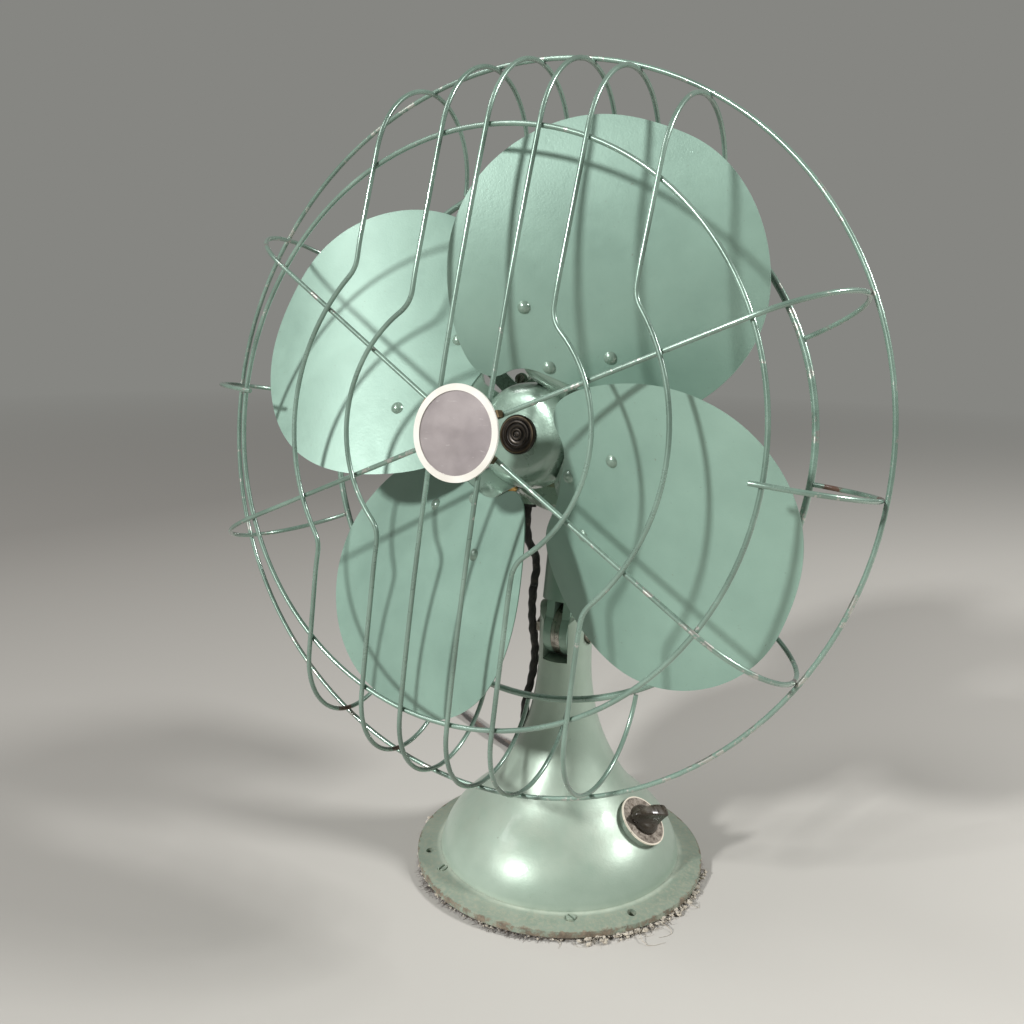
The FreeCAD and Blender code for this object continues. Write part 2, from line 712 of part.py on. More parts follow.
def hinge_nut():
    seat = vec(-PIVOT_SEAT_X, 0, PIVOT_Z)
    nut = hexagon(PIVOT_NUT_AF, PIVOT_NUT_H, seat, X_AXIS * -1)
    return nut.cut(cylinder(PIVOT_BOLT_R, PIVOT_NUT_H, seat, X_AXIS * -1))


def friction_discs():
    thickness = LEAF_INNER_X - SIDE_GAP - DISC_SPLIT
    discs = []
    for start in (DISC_SPLIT, -DISC_SPLIT - thickness):
        discs.append(tube(TONGUE_R, PIVOT_BOLT_R, thickness, vec(start, 0, PIVOT_Z), X_AXIS))
    return Part.makeCompound(discs)


def tongue_leaf(side):
    outer_x = SLOT_W / 2 - LOOSE
    low, high = sorted((side * LEAF_INNER_X, side * outer_x))
    rounded = cylinder(TONGUE_R, high - low, vec(low, 0, PIVOT_Z), X_AXIS)
    riser = box((low, high), (-LEAF_HALF_DEPTH, LEAF_HALF_DEPTH), (PIVOT_Z, NECK_FOOT_Z + LEAF_ROOT))
    return rounded.fuse(riser)


def neck_casting():
    stem = cylinder(NECK_R, NECK_TOP_Z - NECK_FOOT_Z, vec(0, 0, NECK_FOOT_Z))
    ear = cylinder(LUG_R, LUG_T, vec(LUG_X, 0, LUG_BOTTOM_Z))
    web = box((0, LUG_X), (-LUG_R, LUG_R), (LUG_BOTTOM_Z, LUG_BOTTOM_Z + LUG_T))
    body = fuse(stem, tongue_leaf(-1), tongue_leaf(1), ear, web)
    pivot = cylinder(PIVOT_BOLT_R + RUNNING, 2 * SLOT_W, vec(-SLOT_W, 0, PIVOT_Z), X_AXIS)
    socket = cylinder(SPINDLE_R, NECK_TOP_Z - SPINDLE_SEAT_Z, vec(0, 0, SPINDLE_SEAT_Z))
    pin_hole = cylinder(LINK_PIN_R, LUG_T, vec(LUG_X, 0, LUG_BOTTOM_Z))
    return lean_back(body.cut(Part.makeCompound([pivot, socket, pin_hole])))


def swivel_spindle():
    return lean_back(cylinder(SPINDLE_R, SPINDLE_TOP_Z - SPINDLE_SEAT_Z, vec(0, 0, SPINDLE_SEAT_Z)))


def thrust_washer():
    return lean_back(tube(WASHER_R, SPINDLE_R, WASHER_T, vec(0, 0, NECK_TOP_Z)))


LINK_TOP_Z = LUG_BOTTOM_Z - LOOSE
LINK_BOTTOM_Z = LINK_TOP_Z - LINK_T
BOSS_BOTTOM_Z = NECK_TOP_Z + WASHER_T + AXIAL_PLAY


def link_pin():
    head_z = LINK_BOTTOM_Z - LOOSE - LINK_PIN_HEAD_H
    shank = cylinder(LINK_PIN_R, LUG_BOTTOM_Z + LUG_T - head_z, vec(LUG_X, 0, head_z))
    head = cylinder(LINK_PIN_HEAD_R, LINK_PIN_HEAD_H, vec(LUG_X, 0, head_z))
    return lean_back(fuse(shank, head))


def link_arm():
    """Flat link from the neck's lug to the crank, with an eye at each end."""
    near = vec(LUG_X, 0, LINK_BOTTOM_Z)
    far = vec(WHEEL_X + CRANK_THROW, WHEEL_Y, LINK_BOTTOM_Z)
    along = (far - near).normalize()
    across = Z_AXIS.cross(along) * (LINK_W / 2)
    bar = Part.Face(polygon([near - across, far - across, far + across, near + across]))
    bar = bar.extrude(vec(0, 0, LINK_T))
    eyes = [cylinder(LINK_EYE_R, LINK_T, place) for place in (near, far)]
    holes = [cylinder(LINK_PIN_R + RUNNING, LINK_T, place) for place in (near, far)]
    return lean_back(fuse(bar, *eyes).cut(Part.makeCompound(holes)))


# ================================================================ motor
def ears(y_range):
    pieces = []
    for angle in EAR_ANGLES:
        start = round_the_fan_axis(angle, EAR_ORBIT, y_range[0])
        pieces.append(cylinder(EAR_R, y_range[1] - y_range[0], start, Y_AXIS))
    return pieces


def ear_holes():
    pieces = []
    for angle in EAR_ANGLES:
        start = round_the_fan_axis(angle, EAR_SCREW_ORBIT, EAR_FRONT_Y)
        pieces.append(cylinder(COVER_SCREW_R, EAR_BACK_Y - EAR_FRONT_Y, start, Y_AXIS))
    return pieces


def oil_hole(y):
    return cylinder(OIL_TUBE_R, 2 * MOTOR_R, vec(0, y, AXIS_Z + BEARING_R))


CAVITY_R = MOTOR_R - MOTOR_WALL
REAR_OIL_Y = REAR_BEARING_Y + BEARING_L / 2
FRONT_OIL_Y = FRONT_BEARING_Y + BEARING_L / 2


def motor_body():
    back_in = MOTOR_BACK_Y - MOTOR_WALL
    shell = turned_on_fan_axis([
        (CAVITY_R, MOTOR_JOINT_Y), (MOTOR_R, MOTOR_JOINT_Y), (MOTOR_R, MOTOR_BACK_Y - MOTOR_ROUND),
        (MOTOR_R - MOTOR_ROUND / 3, MOTOR_BACK_Y - MOTOR_ROUND / 3),
        (MOTOR_R - MOTOR_ROUND, MOTOR_BACK_Y),
        (BEARING_R, MOTOR_BACK_Y), (BEARING_R, REAR_BEARING_Y), (BEARING_HUB_R, REAR_BEARING_Y),
        (BEARING_HUB_R, back_in), (MOTOR_R - MOTOR_ROUND - MOTOR_WALL / 2, back_in),
        (CAVITY_R, MOTOR_BACK_Y - MOTOR_ROUND)])
    boss = cylinder(BOSS_R, AXIS_Z - CAVITY_R - BOSS_BOTTOM_Z + MOTOR_WALL, vec(0, 0, BOSS_BOTTOM_Z))
    lead_boss = cylinder(LEAD_BOSS_R, AXIS_Z - LEAD_BOSS_END_Z - MOTOR_R / 2,
                         vec(*LEAD_EXIT, LEAD_BOSS_END_Z))
    outside = fuse(boss, lead_boss, *ears((MOTOR_JOINT_Y, EAR_BACK_Y)))
    core_length = MOTOR_BACK_Y - MOTOR_JOINT_Y
    outside = outside.cut(cylinder(CAVITY_R, core_length, vec(0, MOTOR_JOINT_Y, AXIS_Z), Y_AXIS))
    holes = [cylinder(SPINDLE_R + RUNNING, SPINDLE_TOP_Z + LOOSE - BOSS_BOTTOM_Z, vec(0, 0, BOSS_BOTTOM_Z)),
             cylinder(LEAD_BUSH_R, MOTOR_R, vec(*LEAD_EXIT, LEAD_BOSS_END_Z)),
             cylinder(OIL_TUBE_R, MOTOR_R, vec(0, REAR_OIL_Y, AXIS_Z + BEARING_R)), *ear_holes()]
    for place in case_screw_places():
        holes.append(cylinder(CASE_SCREW_R, CASE_BACK_Y - back_in, place, Y_AXIS * -1))
    body = fuse(shell, outside).cut(Part.makeCompound(holes))
    return lean_back(body)


def motor_cover():
    face_in = COVER_FRONT_Y + MOTOR_WALL
    bearing_end = FRONT_BEARING_Y + BEARING_L
    shell = turned_on_fan_axis([
        (MOTOR_R, MOTOR_JOINT_Y), (MOTOR_R, EAR_FRONT_Y + COVER_STEP),
        (MOTOR_R - COVER_DRAFT, COVER_FRONT_Y + COVER_STEP), (COVER_NOSE_R, COVER_FRONT_Y),
        (BEARING_R, COVER_FRONT_Y), (BEARING_R, bearing_end), (BEARING_HUB_R, bearing_end),
        (BEARING_HUB_R, face_in), (COVER_NOSE_R, face_in), (CAVITY_R, MOTOR_JOINT_Y - COVER_STEP),
        (CAVITY_R, MOTOR_JOINT_Y)])
    outside = fuse(*ears((EAR_FRONT_Y, MOTOR_JOINT_Y)))
    outside = outside.cut(cylinder(CAVITY_R, 2 * MOTOR_R, vec(0, -MOTOR_R, AXIS_Z), Y_AXIS))
    bracket_holes = []
    for angle in BRACKET_ANGLES:
        place = round_the_fan_axis(angle + GUARD_ROLL, BRACKET_SCREW_ORBIT, COVER_FRONT_Y)
        bracket_holes.append(cylinder(BRACKET_SCREW_R, MOTOR_WALL, place, Y_AXIS))
    holes = [oil_hole(FRONT_OIL_Y), *ear_holes(), *bracket_holes]
    return lean_back(fuse(shell, outside).cut(Part.makeCompound(holes)))


def case_screw_places():
    heights = (AXIS_Z - CASE_SCREW_RISE, AXIS_Z + CASE_SCREW_RISE)
    return [vec(x, CASE_BACK_Y, z) for x in CASE_SCREW_X for z in heights]


def cover_screws():
    """Four screws through the motor's ears and four long ones through the gear case."""
    screws = []
    for angle in EAR_ANGLES:
        start = round_the_fan_axis(angle, EAR_SCREW_ORBIT, EAR_FRONT_Y)
        shank = cylinder(COVER_SCREW_R, EAR_BACK_Y - EAR_FRONT_Y - EAR_SCREW_SHORT, start, Y_AXIS)
        head = slotted_head(COVER_SCREW_HEAD_R, COVER_SCREW_HEAD_H, start, Y_AXIS * -1, Z_AXIS)
        screws.append(fuse(shank, head))
    for place in case_screw_places():
        shank = cylinder(CASE_SCREW_R, CASE_BACK_Y - MOTOR_BACK_Y + MOTOR_WALL, place, Y_AXIS * -1)
        head = slotted_head(CASE_SCREW_HEAD_R, COVER_SCREW_HEAD_H, place, Y_AXIS, Z_AXIS)
        screws.append(fuse(shank, head))
    return lean_back(Part.makeCompound(screws))


def stator():
    low, high = STATOR_Y
    return lean_back(tube(CAVITY_R, STATOR_BORE_R, high - low, vec(0, low, AXIS_Z), Y_AXIS))


def windings():
    inner, outer = WINDING_R
    front = tube(outer, inner, WINDING_L, vec(0, STATOR_Y[0] - WINDING_L, AXIS_Z), Y_AXIS)
    rear = tube(outer, inner, WINDING_L, vec(0, STATOR_Y[1], AXIS_Z), Y_AXIS)
    return lean_back(Part.makeCompound([front, rear]))


def bearings():
    sleeves = []
    for y in (FRONT_BEARING_Y, REAR_BEARING_Y):
        sleeve = tube(BEARING_R, SHAFT_R + RUNNING, BEARING_L, vec(0, y, AXIS_Z), Y_AXIS)
        sleeves.append(sleeve)
    return lean_back(Part.makeCompound(sleeves))


def oil_cups():
    cups = []
    for y in (FRONT_OIL_Y, REAR_OIL_Y):
        stem = cylinder(OIL_TUBE_R, MOTOR_R - BEARING_R + OIL_TUBE_IN_CUP, vec(0, y, AXIS_Z + BEARING_R))
        cup = cylinder(OIL_CUP_R, OIL_CUP_H, vec(0, y, AXIS_Z + MOTOR_R + SIDE_GAP))
        cups.append(fuse(stem, cup))
    return lean_back(Part.makeCompound(cups))


def lead_bushing():
    length = AXIS_Z - CAVITY_R + LEAD_BUSH_INSIDE - LEAD_BUSH_END_Z
    start = vec(*LEAD_EXIT, LEAD_BUSH_END_Z)
    bush = cylinder(LEAD_BUSH_R, length, start)
    lip = cylinder(LEAD_BUSH_R + LEAD_BUSH_LIP, LEAD_BOSS_END_Z - LEAD_BUSH_END_Z, start)
    return lean_back(fuse(bush, lip))


def motor_lead():
    start = vec(*LEAD_EXIT, LEAD_BUSH_END_Z)
    leaned = FreeCAD.Placement(vec(0, 0, 0), FreeCAD.Rotation(X_AXIS, -HEAD_LEAN), vec(0, 0, PIVOT_Z))
    start = leaned.multVec(start)
    return cord_tube([tuple(start), *LEAD_ROUTE], LEAD_D, "motor lead")


# ================================================================ oscillator
def rounded_block(x_range, y_range, z_range, radius):
    block = box(x_range, y_range, z_range)
    upright = [e for e in block.Edges if abs(e.tangentAt(e.FirstParameter).z) > 0.9]
    behind = [e for e in upright if e.Vertexes[0].Y > (y_range[0] + y_range[1]) / 2]
    return block.makeFillet(radius, behind)


def gear_case():
    outer = rounded_block((CASE_LEFT_X, CASE_RIGHT_X), (MOTOR_BACK_Y, CASE_BACK_Y),
                          (CASE_BOTTOM_Z, CASE_TOP_Z), CASE_ROUND)
    wall = CASE_WALL
    room = rounded_block((CASE_LEFT_X + wall, CASE_RIGHT_X - wall), (MOTOR_BACK_Y, CASE_BACK_Y - wall),
                         (CASE_BOTTOM_Z + wall, CASE_TOP_Z - wall), CASE_ROUND - wall)
    pillars = []
    holes = []
    for place in case_screw_places():
        length = CASE_BACK_Y - MOTOR_BACK_Y
        pillars.append(cylinder(2 * CASE_SCREW_R, length, vec(place.x, MOTOR_BACK_Y, place.z), Y_AXIS))
        holes.append(cylinder(CASE_SCREW_R, length, vec(place.x, MOTOR_BACK_Y, place.z), Y_AXIS))
    shaft_z = CASE_BOTTOM_Z
    roof = vec(WHEEL_X, WHEEL_Y, CASE_TOP_Z - CASE_ROOF_HOLE_L / 2)
    hub = cylinder(2 * CRANK_SHAFT_R, CASE_HUB_L, vec(WHEEL_X, WHEEL_Y, shaft_z))
    holes.append(cylinder(CRANK_SHAFT_R + RUNNING, CASE_HUB_L, vec(WHEEL_X, WHEEL_Y, shaft_z)))
    holes.append(cylinder(CLUTCH_STEM_R + RUNNING, CASE_ROOF_HOLE_L, roof))
    body = fuse(outer.cut(room), hub, *pillars).cut(Part.makeCompound(holes))
    return lean_back(body)


def worm_wheel():
    """Wheel on its upright shaft, driven by the worm on the back of the motor shaft."""
    wheel = cylinder(WHEEL_R, WHEEL_T, vec(WHEEL_X, WHEEL_Y, AXIS_Z - WHEEL_T / 2))
    gaps = []
    for tooth in range(WHEEL_TEETH):
        angle = 360.0 * tooth / WHEEL_TEETH
        gap = box((WHEEL_R - TOOTH_DEPTH, WHEEL_R + TOOTH_CUT_PAST),
                  (-WORM_PITCH / 4, WORM_PITCH / 4), (0, WHEEL_T))
        gap.rotate(vec(0, 0, 0), Z_AXIS, angle)
        gap.translate(vec(WHEEL_X, WHEEL_Y, AXIS_Z - WHEEL_T / 2))
        gaps.append(gap)
    wheel = wheel.cut(Part.makeCompound(gaps))
    shaft_top = AXIS_Z + WHEEL_T / 2
    shaft_bottom = CRANK_DISC_Z + CRANK_DISC_T
    shaft = cylinder(CRANK_SHAFT_R, shaft_top - shaft_bottom, vec(WHEEL_X, WHEEL_Y, shaft_bottom))
    return lean_back(fuse(wheel, shaft))


def crank_disc():
    """Disc under the gear case; its pin reaches down to the link's far eye."""
    disc = cylinder(CRANK_DISC_R, CRANK_DISC_T, vec(WHEEL_X, WHEEL_Y, CRANK_DISC_Z))
    pin_z = LINK_TOP_Z + LOOSE
    pin = cylinder(CRANK_PIN_R, CRANK_DISC_Z + CRANK_DISC_T - pin_z,
                   vec(WHEEL_X + CRANK_THROW, WHEEL_Y, pin_z))
    return lean_back(fuse(disc, pin))


def clutch_knob():
    stem_z = AXIS_Z + WHEEL_T / 2 + SIDE_GAP
    seat_z = CASE_TOP_Z + SIDE_GAP
    stem = cylinder(CLUTCH_STEM_R, seat_z + CLUTCH_STEM_IN - stem_z, vec(WHEEL_X, WHEEL_Y, stem_z))
    knob = cylinder(CLUTCH_KNOB_R, CLUTCH_KNOB_H, vec(WHEEL_X, WHEEL_Y, seat_z))
    rim = [e for e in knob.Edges if hasattr(e.Curve, "Radius") and e.CenterOfMass.z > seat_z + CLUTCH_STEM_IN]
    return lean_back(fuse(knob.makeFillet(CLUTCH_KNOB_ROUND, rim), stem))


# ================================================================ blades and hub
def blade_station(u, v):
    """Station of the blade's front face, u out from the axis and v across toward clockwise."""
    out = (u - BLADE_MID_U) / BLADE_SPAN
    across = v / BLADE_SPAN
    pitch = (BLADE_PITCH - BLADE_TWIST * out) * v
    dish = BLADE_CUP_ACROSS * across ** 2 + BLADE_CUP_ALONG * out ** 2
    return BLADE_STATION + BLADE_RISE * out - pitch - dish


def sheet_surface(offset, u_range, v_range, dip):
    """A thin curved sheet that lies the given offset behind the blade's front face.

    Where a dip is given, the sheet sinks and levels out toward the hub.
    """
    rows = []
    for i in range(SHEET_STEPS + 1):
        u = u_range[0] + (u_range[1] - u_range[0]) * i / SHEET_STEPS
        share = max(0.0, min(1.0, (ARM_DIP_END_U - u) / (ARM_DIP_END_U - ARM_ROOT_U))) ** 2 if dip else 0.0
        row = []
        for j in range(SHEET_STEPS + 1):
            v = v_range[0] + (v_range[1] - v_range[0]) * j / SHEET_STEPS
            row.append(vec(u, -v, blade_station(u, v * (1 - share)) - offset - dip * share))
        rows.append(row)
    surface = Part.BSplineSurface()
    surface.interpolate(rows)
    return surface.toShape()


def place_on_blade(shape, index):
    """From the blade's own frame (u, -v, station) to the upright head."""
    angle = radians(BLADE_FIRST_ANGLE + 360.0 / BLADE_COUNT * index)
    outward = vec(sin(angle), 0, cos(angle))
    back_round = vec(-cos(angle), 0, sin(angle))
    turn = FreeCAD.Rotation(outward, back_round, Y_AXIS * -1, "ZXY")
    placed = shape.copy()
    placed.Placement = FreeCAD.Placement(vec(0, 0, AXIS_Z), turn) * shape.Placement
    return placed


def fan_blade(index):
    curve = Part.BSplineCurve()
    curve.interpolate(Points=[vec(u, -v, 0) for u, v in BLADE_OUTLINE], PeriodicFlag=True)
    outline = Part.Face(Part.Wire(curve.toShape())).extrude(vec(0, 0, 2 * BLADE_STATION))
    sheet = sheet_surface(BLADE_T, BLADE_SHEET_U, BLADE_SHEET_V, 0).extrude(vec(0, 0, BLADE_T))
    blade = sheet.common(outline)
    return lean_back(place_on_blade(blade.cut(rivet_holes()), index))


def spider_arm(index):
    one_side = [(ARM_ROOT_U, ARM_ROOT_HALF), (ARM_WAIST_U, ARM_WAIST_HALF),
                (ARM_TIP_U - ARM_CORNER, ARM_TIP_HALF),
                (ARM_TIP_U - ARM_CORNER_IN, ARM_TIP_HALF - ARM_CORNER_SIDE), (ARM_TIP_U, ARM_TIP_HALF / 2)]
    corners = [(u, -v) for u, v in one_side] + one_side[::-1]
    outline = Part.Face(polygon([vec(u, -v, 0) for u, v in corners])).extrude(vec(0, 0, 2 * BLADE_STATION))
    rear = BLADE_T + SHEET_GAP + ARM_T
    sheet = sheet_surface(rear, ARM_SHEET_U, ARM_SHEET_V, ARM_DIP).extrude(vec(0, 0, ARM_T))
    return place_on_blade(sheet.common(outline).cut(rivet_holes()), index)


def hub_dome():
    """The pressed dome: a low face, a round shoulder and a side that flares to the rim behind."""
    face = HUB_FACE_STATION
    profile = [(NOSE_R, face)]
    profile += [(r, face - drop) for r, drop in (HUB_CROWN, HUB_BROW, HUB_SHOULDER, HUB_SIDE)]
    profile.append((HUB_R, HUB_RIM_STATION))
    outside = Part.BSplineCurve()
    outside.interpolate([vec(r, 0, station) for r, station in profile])
    inside = [(HUB_R, HUB_RIM_STATION), (HUB_R - HUB_SKIN, HUB_RIM_STATION),
              (HUB_SIDE[0] - HUB_SKIN, face - HUB_SIDE[1]),
              (HUB_BROW[0] - HUB_SKIN, face - HUB_BROW[1] - HUB_SKIN),
              (HUB_BARREL_R, face - HUB_CROWN[1] - HUB_SKIN), (HUB_BARREL_R, HUB_BACK_STATION),
              (SHAFT_R, HUB_BACK_STATION), (SHAFT_R, face), (NOSE_R, face)]
    return on_fan_axis(revolved_outline([outside.toShape(), *chain(inside)]))


def hub_screw_axis():
    tip = round_the_fan_axis(HUB_SCREW_ANGLE, SHAFT_R, -HUB_SCREW_STATION)
    way = (round_the_fan_axis(HUB_SCREW_ANGLE, 1, 0) - vec(0, 0, AXIS_Z)).normalize()
    return tip, way


def blade_spider():
    arms = [spider_arm(i) for i in range(BLADE_COUNT)]
    body = fuse(hub_dome(), *arms)
    tip, way = hub_screw_axis()
    return lean_back(body.cut(cylinder(HUB_SCREW_R, HUB_SCREW_LENGTH, tip, way)))


def hub_screw():
    """Long slotted screw through the barrel onto the shaft, its head past the dome's rim."""
    tip, way = hub_screw_axis()
    head = slotted_head(HUB_SCREW_HEAD_R, HUB_SCREW_HEAD_H, tip + way * HUB_SCREW_LENGTH, way, Y_AXIS)
    return lean_back(fuse(cylinder(HUB_SCREW_R, HUB_SCREW_LENGTH, tip, way), head))


def rivet_placement(u, v):
    """Stands a rivet's own Z on the blade's front face, square to it."""
    step = 0.5
    slope_u = (blade_station(u + step, v) - blade_station(u - step, v)) / (2 * step)
    slope_v = (blade_station(u, v + step) - blade_station(u, v - step)) / (2 * step)
    square = vec(-slope_u, slope_v, 1).normalize()
    return FreeCAD.Placement(vec(u, -v, blade_station(u, v)), FreeCAD.Rotation(Z_AXIS, square)), square.z


def rivet_holes():
    """Cutters for the rivets of one blade, square through the blade and the arm."""
    holes = []
    for u, v in RIVET_PLACES:
        hole = cylinder(RIVET_SHANK_R, 8 * (BLADE_T + ARM_T), vec(0, 0, -4 * (BLADE_T + ARM_T)))
        hole.Placement = rivet_placement(u, v)[0]
        holes.append(hole)
    return Part.makeCompound(holes)


def rivet(u, v):
    placement, upright = rivet_placement(u, v)
    grip = (BLADE_T + SHEET_GAP + ARM_T) * upright
    dome_r = (RIVET_R ** 2 + RIVET_DOME_H ** 2) / (2 * RIVET_DOME_H)
    ball = Part.makeSphere(dome_r, vec(0, 0, SHEET_GAP + RIVET_DOME_H - dome_r))
    cap = ball.common(cylinder(RIVET_R + 1, 3 * RIVET_DOME_H, vec(0, 0, SHEET_GAP)))
    shank = cylinder(RIVET_SHANK_R, grip + 3 * SHEET_GAP, vec(0, 0, -grip - 2 * SHEET_GAP))
    tail = cylinder(RIVET_TAIL_R, RIVET_TAIL_H, vec(0, 0, -grip - 2 * SHEET_GAP - RIVET_TAIL_H))
    whole = fuse(cap, shank, tail)
    whole.Placement = placement
    return whole


def blade_rivets():
    rivets = []
    for index in range(BLADE_COUNT):
        for u, v in RIVET_PLACES:
            rivets.append(place_on_blade(rivet(u, v), index))
    return lean_back(Part.makeCompound(rivets))


def nose_cap():
    """Dark turned cap that closes the hub in front of the shaft's end, with a stepped face."""
    face = -NOSE_STATION
    profile = [(r, face + sunk) for r, sunk in NOSE_FACE]
    profile += [(NOSE_R, face + NOSE_BEVEL), (NOSE_R, -HUB_FACE_STATION), (0, -HUB_FACE_STATION)]
    return lean_back(turned_on_fan_axis(profile))


def motor_shaft():
    """Shaft from the hub, through both bearings, to the worm cut on its rear end."""
    front = -SHAFT_FRONT_STATION
    length = WORM_Y[0] - front
    shaft = cylinder(SHAFT_R, length, vec(0, front, AXIS_Z), Y_AXIS)
    profile = [(0, WORM_Y[0])]
    turns = int((WORM_Y[1] - WORM_Y[0]) / WORM_PITCH)
    for turn in range(turns):
        y = WORM_Y[0] + turn * WORM_PITCH
        profile.append((WORM_CORE_R, y))
        profile += [(WORM_R, y + WORM_PITCH * share) for share in WORM_CREST]
    end_y = WORM_Y[0] + turns * WORM_PITCH
    profile += [(WORM_CORE_R, end_y), (0, end_y)]
    return lean_back(fuse(shaft, turned_on_fan_axis(profile)))


def rotor_core():
    low, high = ROTOR_Y
    return lean_back(tube(ROTOR_R, SHAFT_R, high - low, vec(0, low, AXIS_Z), Y_AXIS))


# ================================================================ guard
WIRE_FRONT = FRONT_RING_STATION + RING_WIRE_R + WIRE_R
HOOP_TOP_R = OUTER_RING_R - RING_WIRE_R - WIRE_R


def ring(radius, station, wire_r):
    return hang_guard(Part.makeTorus(radius, wire_r, vec(0, -station, 0), Y_AXIS))


def hoop_edges(place, lean, top, front_height, foot):
    """From the rear ring over the inside of the outer ring to the front ring, in one plane.

    place(station, height) gives the point. The front leg leans forward by the lean angle.
    """
    drop = (top - front_height) * tan(lean)
    radius = (WIRE_FRONT - REAR_RING_STATION - drop) / (1 + 1 / cos(lean) - tan(lean))
    middle_s = REAR_RING_STATION + radius
    middle_h = top - radius

    def on_arc(angle):
        return place(middle_s + radius * cos(angle), middle_h + radius * sin(angle))

    begin = pi - asin(max(0.0, foot - middle_h) / radius)
    edges = [arc_edge(on_arc(begin), on_arc(pi / 2), on_arc(lean))]
    if foot < middle_h:
        edges.append(line_edge(place(REAR_RING_STATION, foot), on_arc(begin)))
    leg_top = (middle_s + radius * cos(lean), middle_h + radius * sin(lean))
    return edges, leg_top


def bow_edges(offset, bow_r, plane, side, up):
    """The bend out of the upright run and half of the bow round the badge."""
    def place(x, z):
        return vec(side * x, -plane, up * z)
    bend_z = sqrt((bow_r + BEND_R) ** 2 - (offset + BEND_R) ** 2)
    share = bow_r / (bow_r + BEND_R)
    touch = ((offset + BEND_R) * share, bend_z * share)
    turn = pi + atan2(bend_z, offset + BEND_R) / 2
    bend_mid = place(offset + BEND_R + BEND_R * cos(turn), bend_z + BEND_R * sin(turn))
    half_way = atan2(touch[1], touch[0]) / 2
    bow_mid = place(bow_r * cos(half_way), bow_r * sin(half_way))
    edges = [arc_edge(place(offset, bend_z), bend_mid, place(*touch)),
             arc_edge(place(*touch), bow_mid, place(bow_r, 0))]
    return edges, bend_z


def ring_height(ring_r, offset):
    return sqrt(ring_r ** 2 - offset ** 2)


def rear_foot(offset):
    return ring_height(REAR_RING_R + REAR_WIRE_R, max(0.0, offset - WIRE_R))


def bowed_wire(offset, bow_r, plane, side):
    edges = []
    for up in (1, -1):
        def place(station, height):
            return vec(side * offset, -station, up * height)
        bow, bend_z = bow_edges(offset, bow_r, plane, side, up)
        front_height = ring_height(FRONT_RING_R, offset)
        knee_height = bend_z + KNEE_ABOVE_BEND
        lean = atan((plane - WIRE_FRONT) / (front_height - knee_height))
        top = ring_height(HOOP_TOP_R, offset)
        hoop, leg_top = hoop_edges(place, lean, top, front_height, rear_foot(offset))
        reach = KNEE_R * tan(lean / 2)
        knee_start = place(plane - reach * sin(lean), knee_height + reach * cos(lean))
        knee_end = place(plane, knee_height - reach)
        sag = KNEE_R * (1 / cos(lean / 2) - 1)
        knee_mid = place(plane - sag * cos(lean / 2), knee_height + sag * sin(lean / 2))
        edges += [*hoop, line_edge(place(*leg_top), knee_start), arc_edge(knee_start, knee_mid, knee_end),
                  line_edge(knee_end, place(plane, bend_z)), *bow]
    return pipe(edges, WIRE_R)


def straight_wire(side):
    edges = []
    front_height = ring_height(FRONT_RING_R, STRAIGHT_X)
    bend_r = (front_height ** 2 + STRAIGHT_RISE ** 2) / (2 * STRAIGHT_RISE)
    lean = asin(front_height / bend_r)
    for up in (1, -1):
        def place(station, height):
            return vec(side * STRAIGHT_X, -station, up * height)
        hoop, leg_top = hoop_edges(place, lean, ring_height(HOOP_TOP_R, STRAIGHT_X), front_height,
                                   rear_foot(STRAIGHT_X))
        edges += [*hoop, line_edge(place(*leg_top), place(WIRE_FRONT, front_height))]
    low = vec(side * STRAIGHT_X, -WIRE_FRONT, -front_height)
    middle = vec(side * STRAIGHT_X, -WIRE_FRONT - STRAIGHT_RISE, 0)
    high = vec(side * STRAIGHT_X, -WIRE_FRONT, front_height)
    edges.append(arc_edge(low, middle, high))
    return pipe(edges, WIRE_R)


def spoke(angle):
    def place(station, height):
        return vec(height * sin(radians(angle)), -station, height * cos(radians(angle)))
    lean = atan((SPOKE_INNER_STATION - WIRE_FRONT) / (FRONT_RING_R - SPOKE_INNER_R))
    foot = REAR_RING_R + REAR_WIRE_R
    hoop, leg_top = hoop_edges(place, lean, HOOP_TOP_R, FRONT_RING_R, foot)
    return pipe([*hoop, line_edge(place(*leg_top), place(SPOKE_INNER_STATION, SPOKE_INNER_R))], WIRE_R)


def side_loop(angle):
    def place(station, height):
        return vec(height * sin(radians(angle)), -station, height * cos(radians(angle)))
    hoop, leg_top = hoop_edges(place, 0.0, HOOP_TOP_R, FRONT_RING_R, REAR_RING_R + REAR_WIRE_R)
    return pipe([*hoop, line_edge(place(*leg_top), place(WIRE_FRONT, FRONT_RING_R - SIDE_FOOT_DROP))], WIRE_R)


def bracket(angle):
    """Flat strap from the motor's front cover out to the back of the rear ring."""
    front = -COVER_FRONT_Y
    ring_back = REAR_RING_STATION - REAR_WIRE_R
    half = BRACKET_W / 2
    lap = REAR_RING_R - BRACKET_LAP
    tip = REAR_RING_R + BRACKET_TIP
    profile = [(front, BRACKET_FOOT_R), (front, COVER_NOSE_R), (ring_back - BRACKET_T, lap),
               (ring_back - BRACKET_T, tip), (ring_back, tip), (ring_back, lap),
               (front + BRACKET_T, COVER_NOSE_R), (front + BRACKET_T, BRACKET_FOOT_R)]
    face = Part.Face(polygon([vec(-half, -station, height) for station, height in profile]))
    strap = face.extrude(vec(BRACKET_W, 0, 0))
    hole_start = vec(0, -front - 2 * BRACKET_T, BRACKET_SCREW_ORBIT)
    strap = strap.cut(cylinder(BRACKET_SCREW_R, 4 * BRACKET_T, hole_start, Y_AXIS))
    strap.rotate(vec(0, 0, 0), Y_AXIS, angle)
    return strap


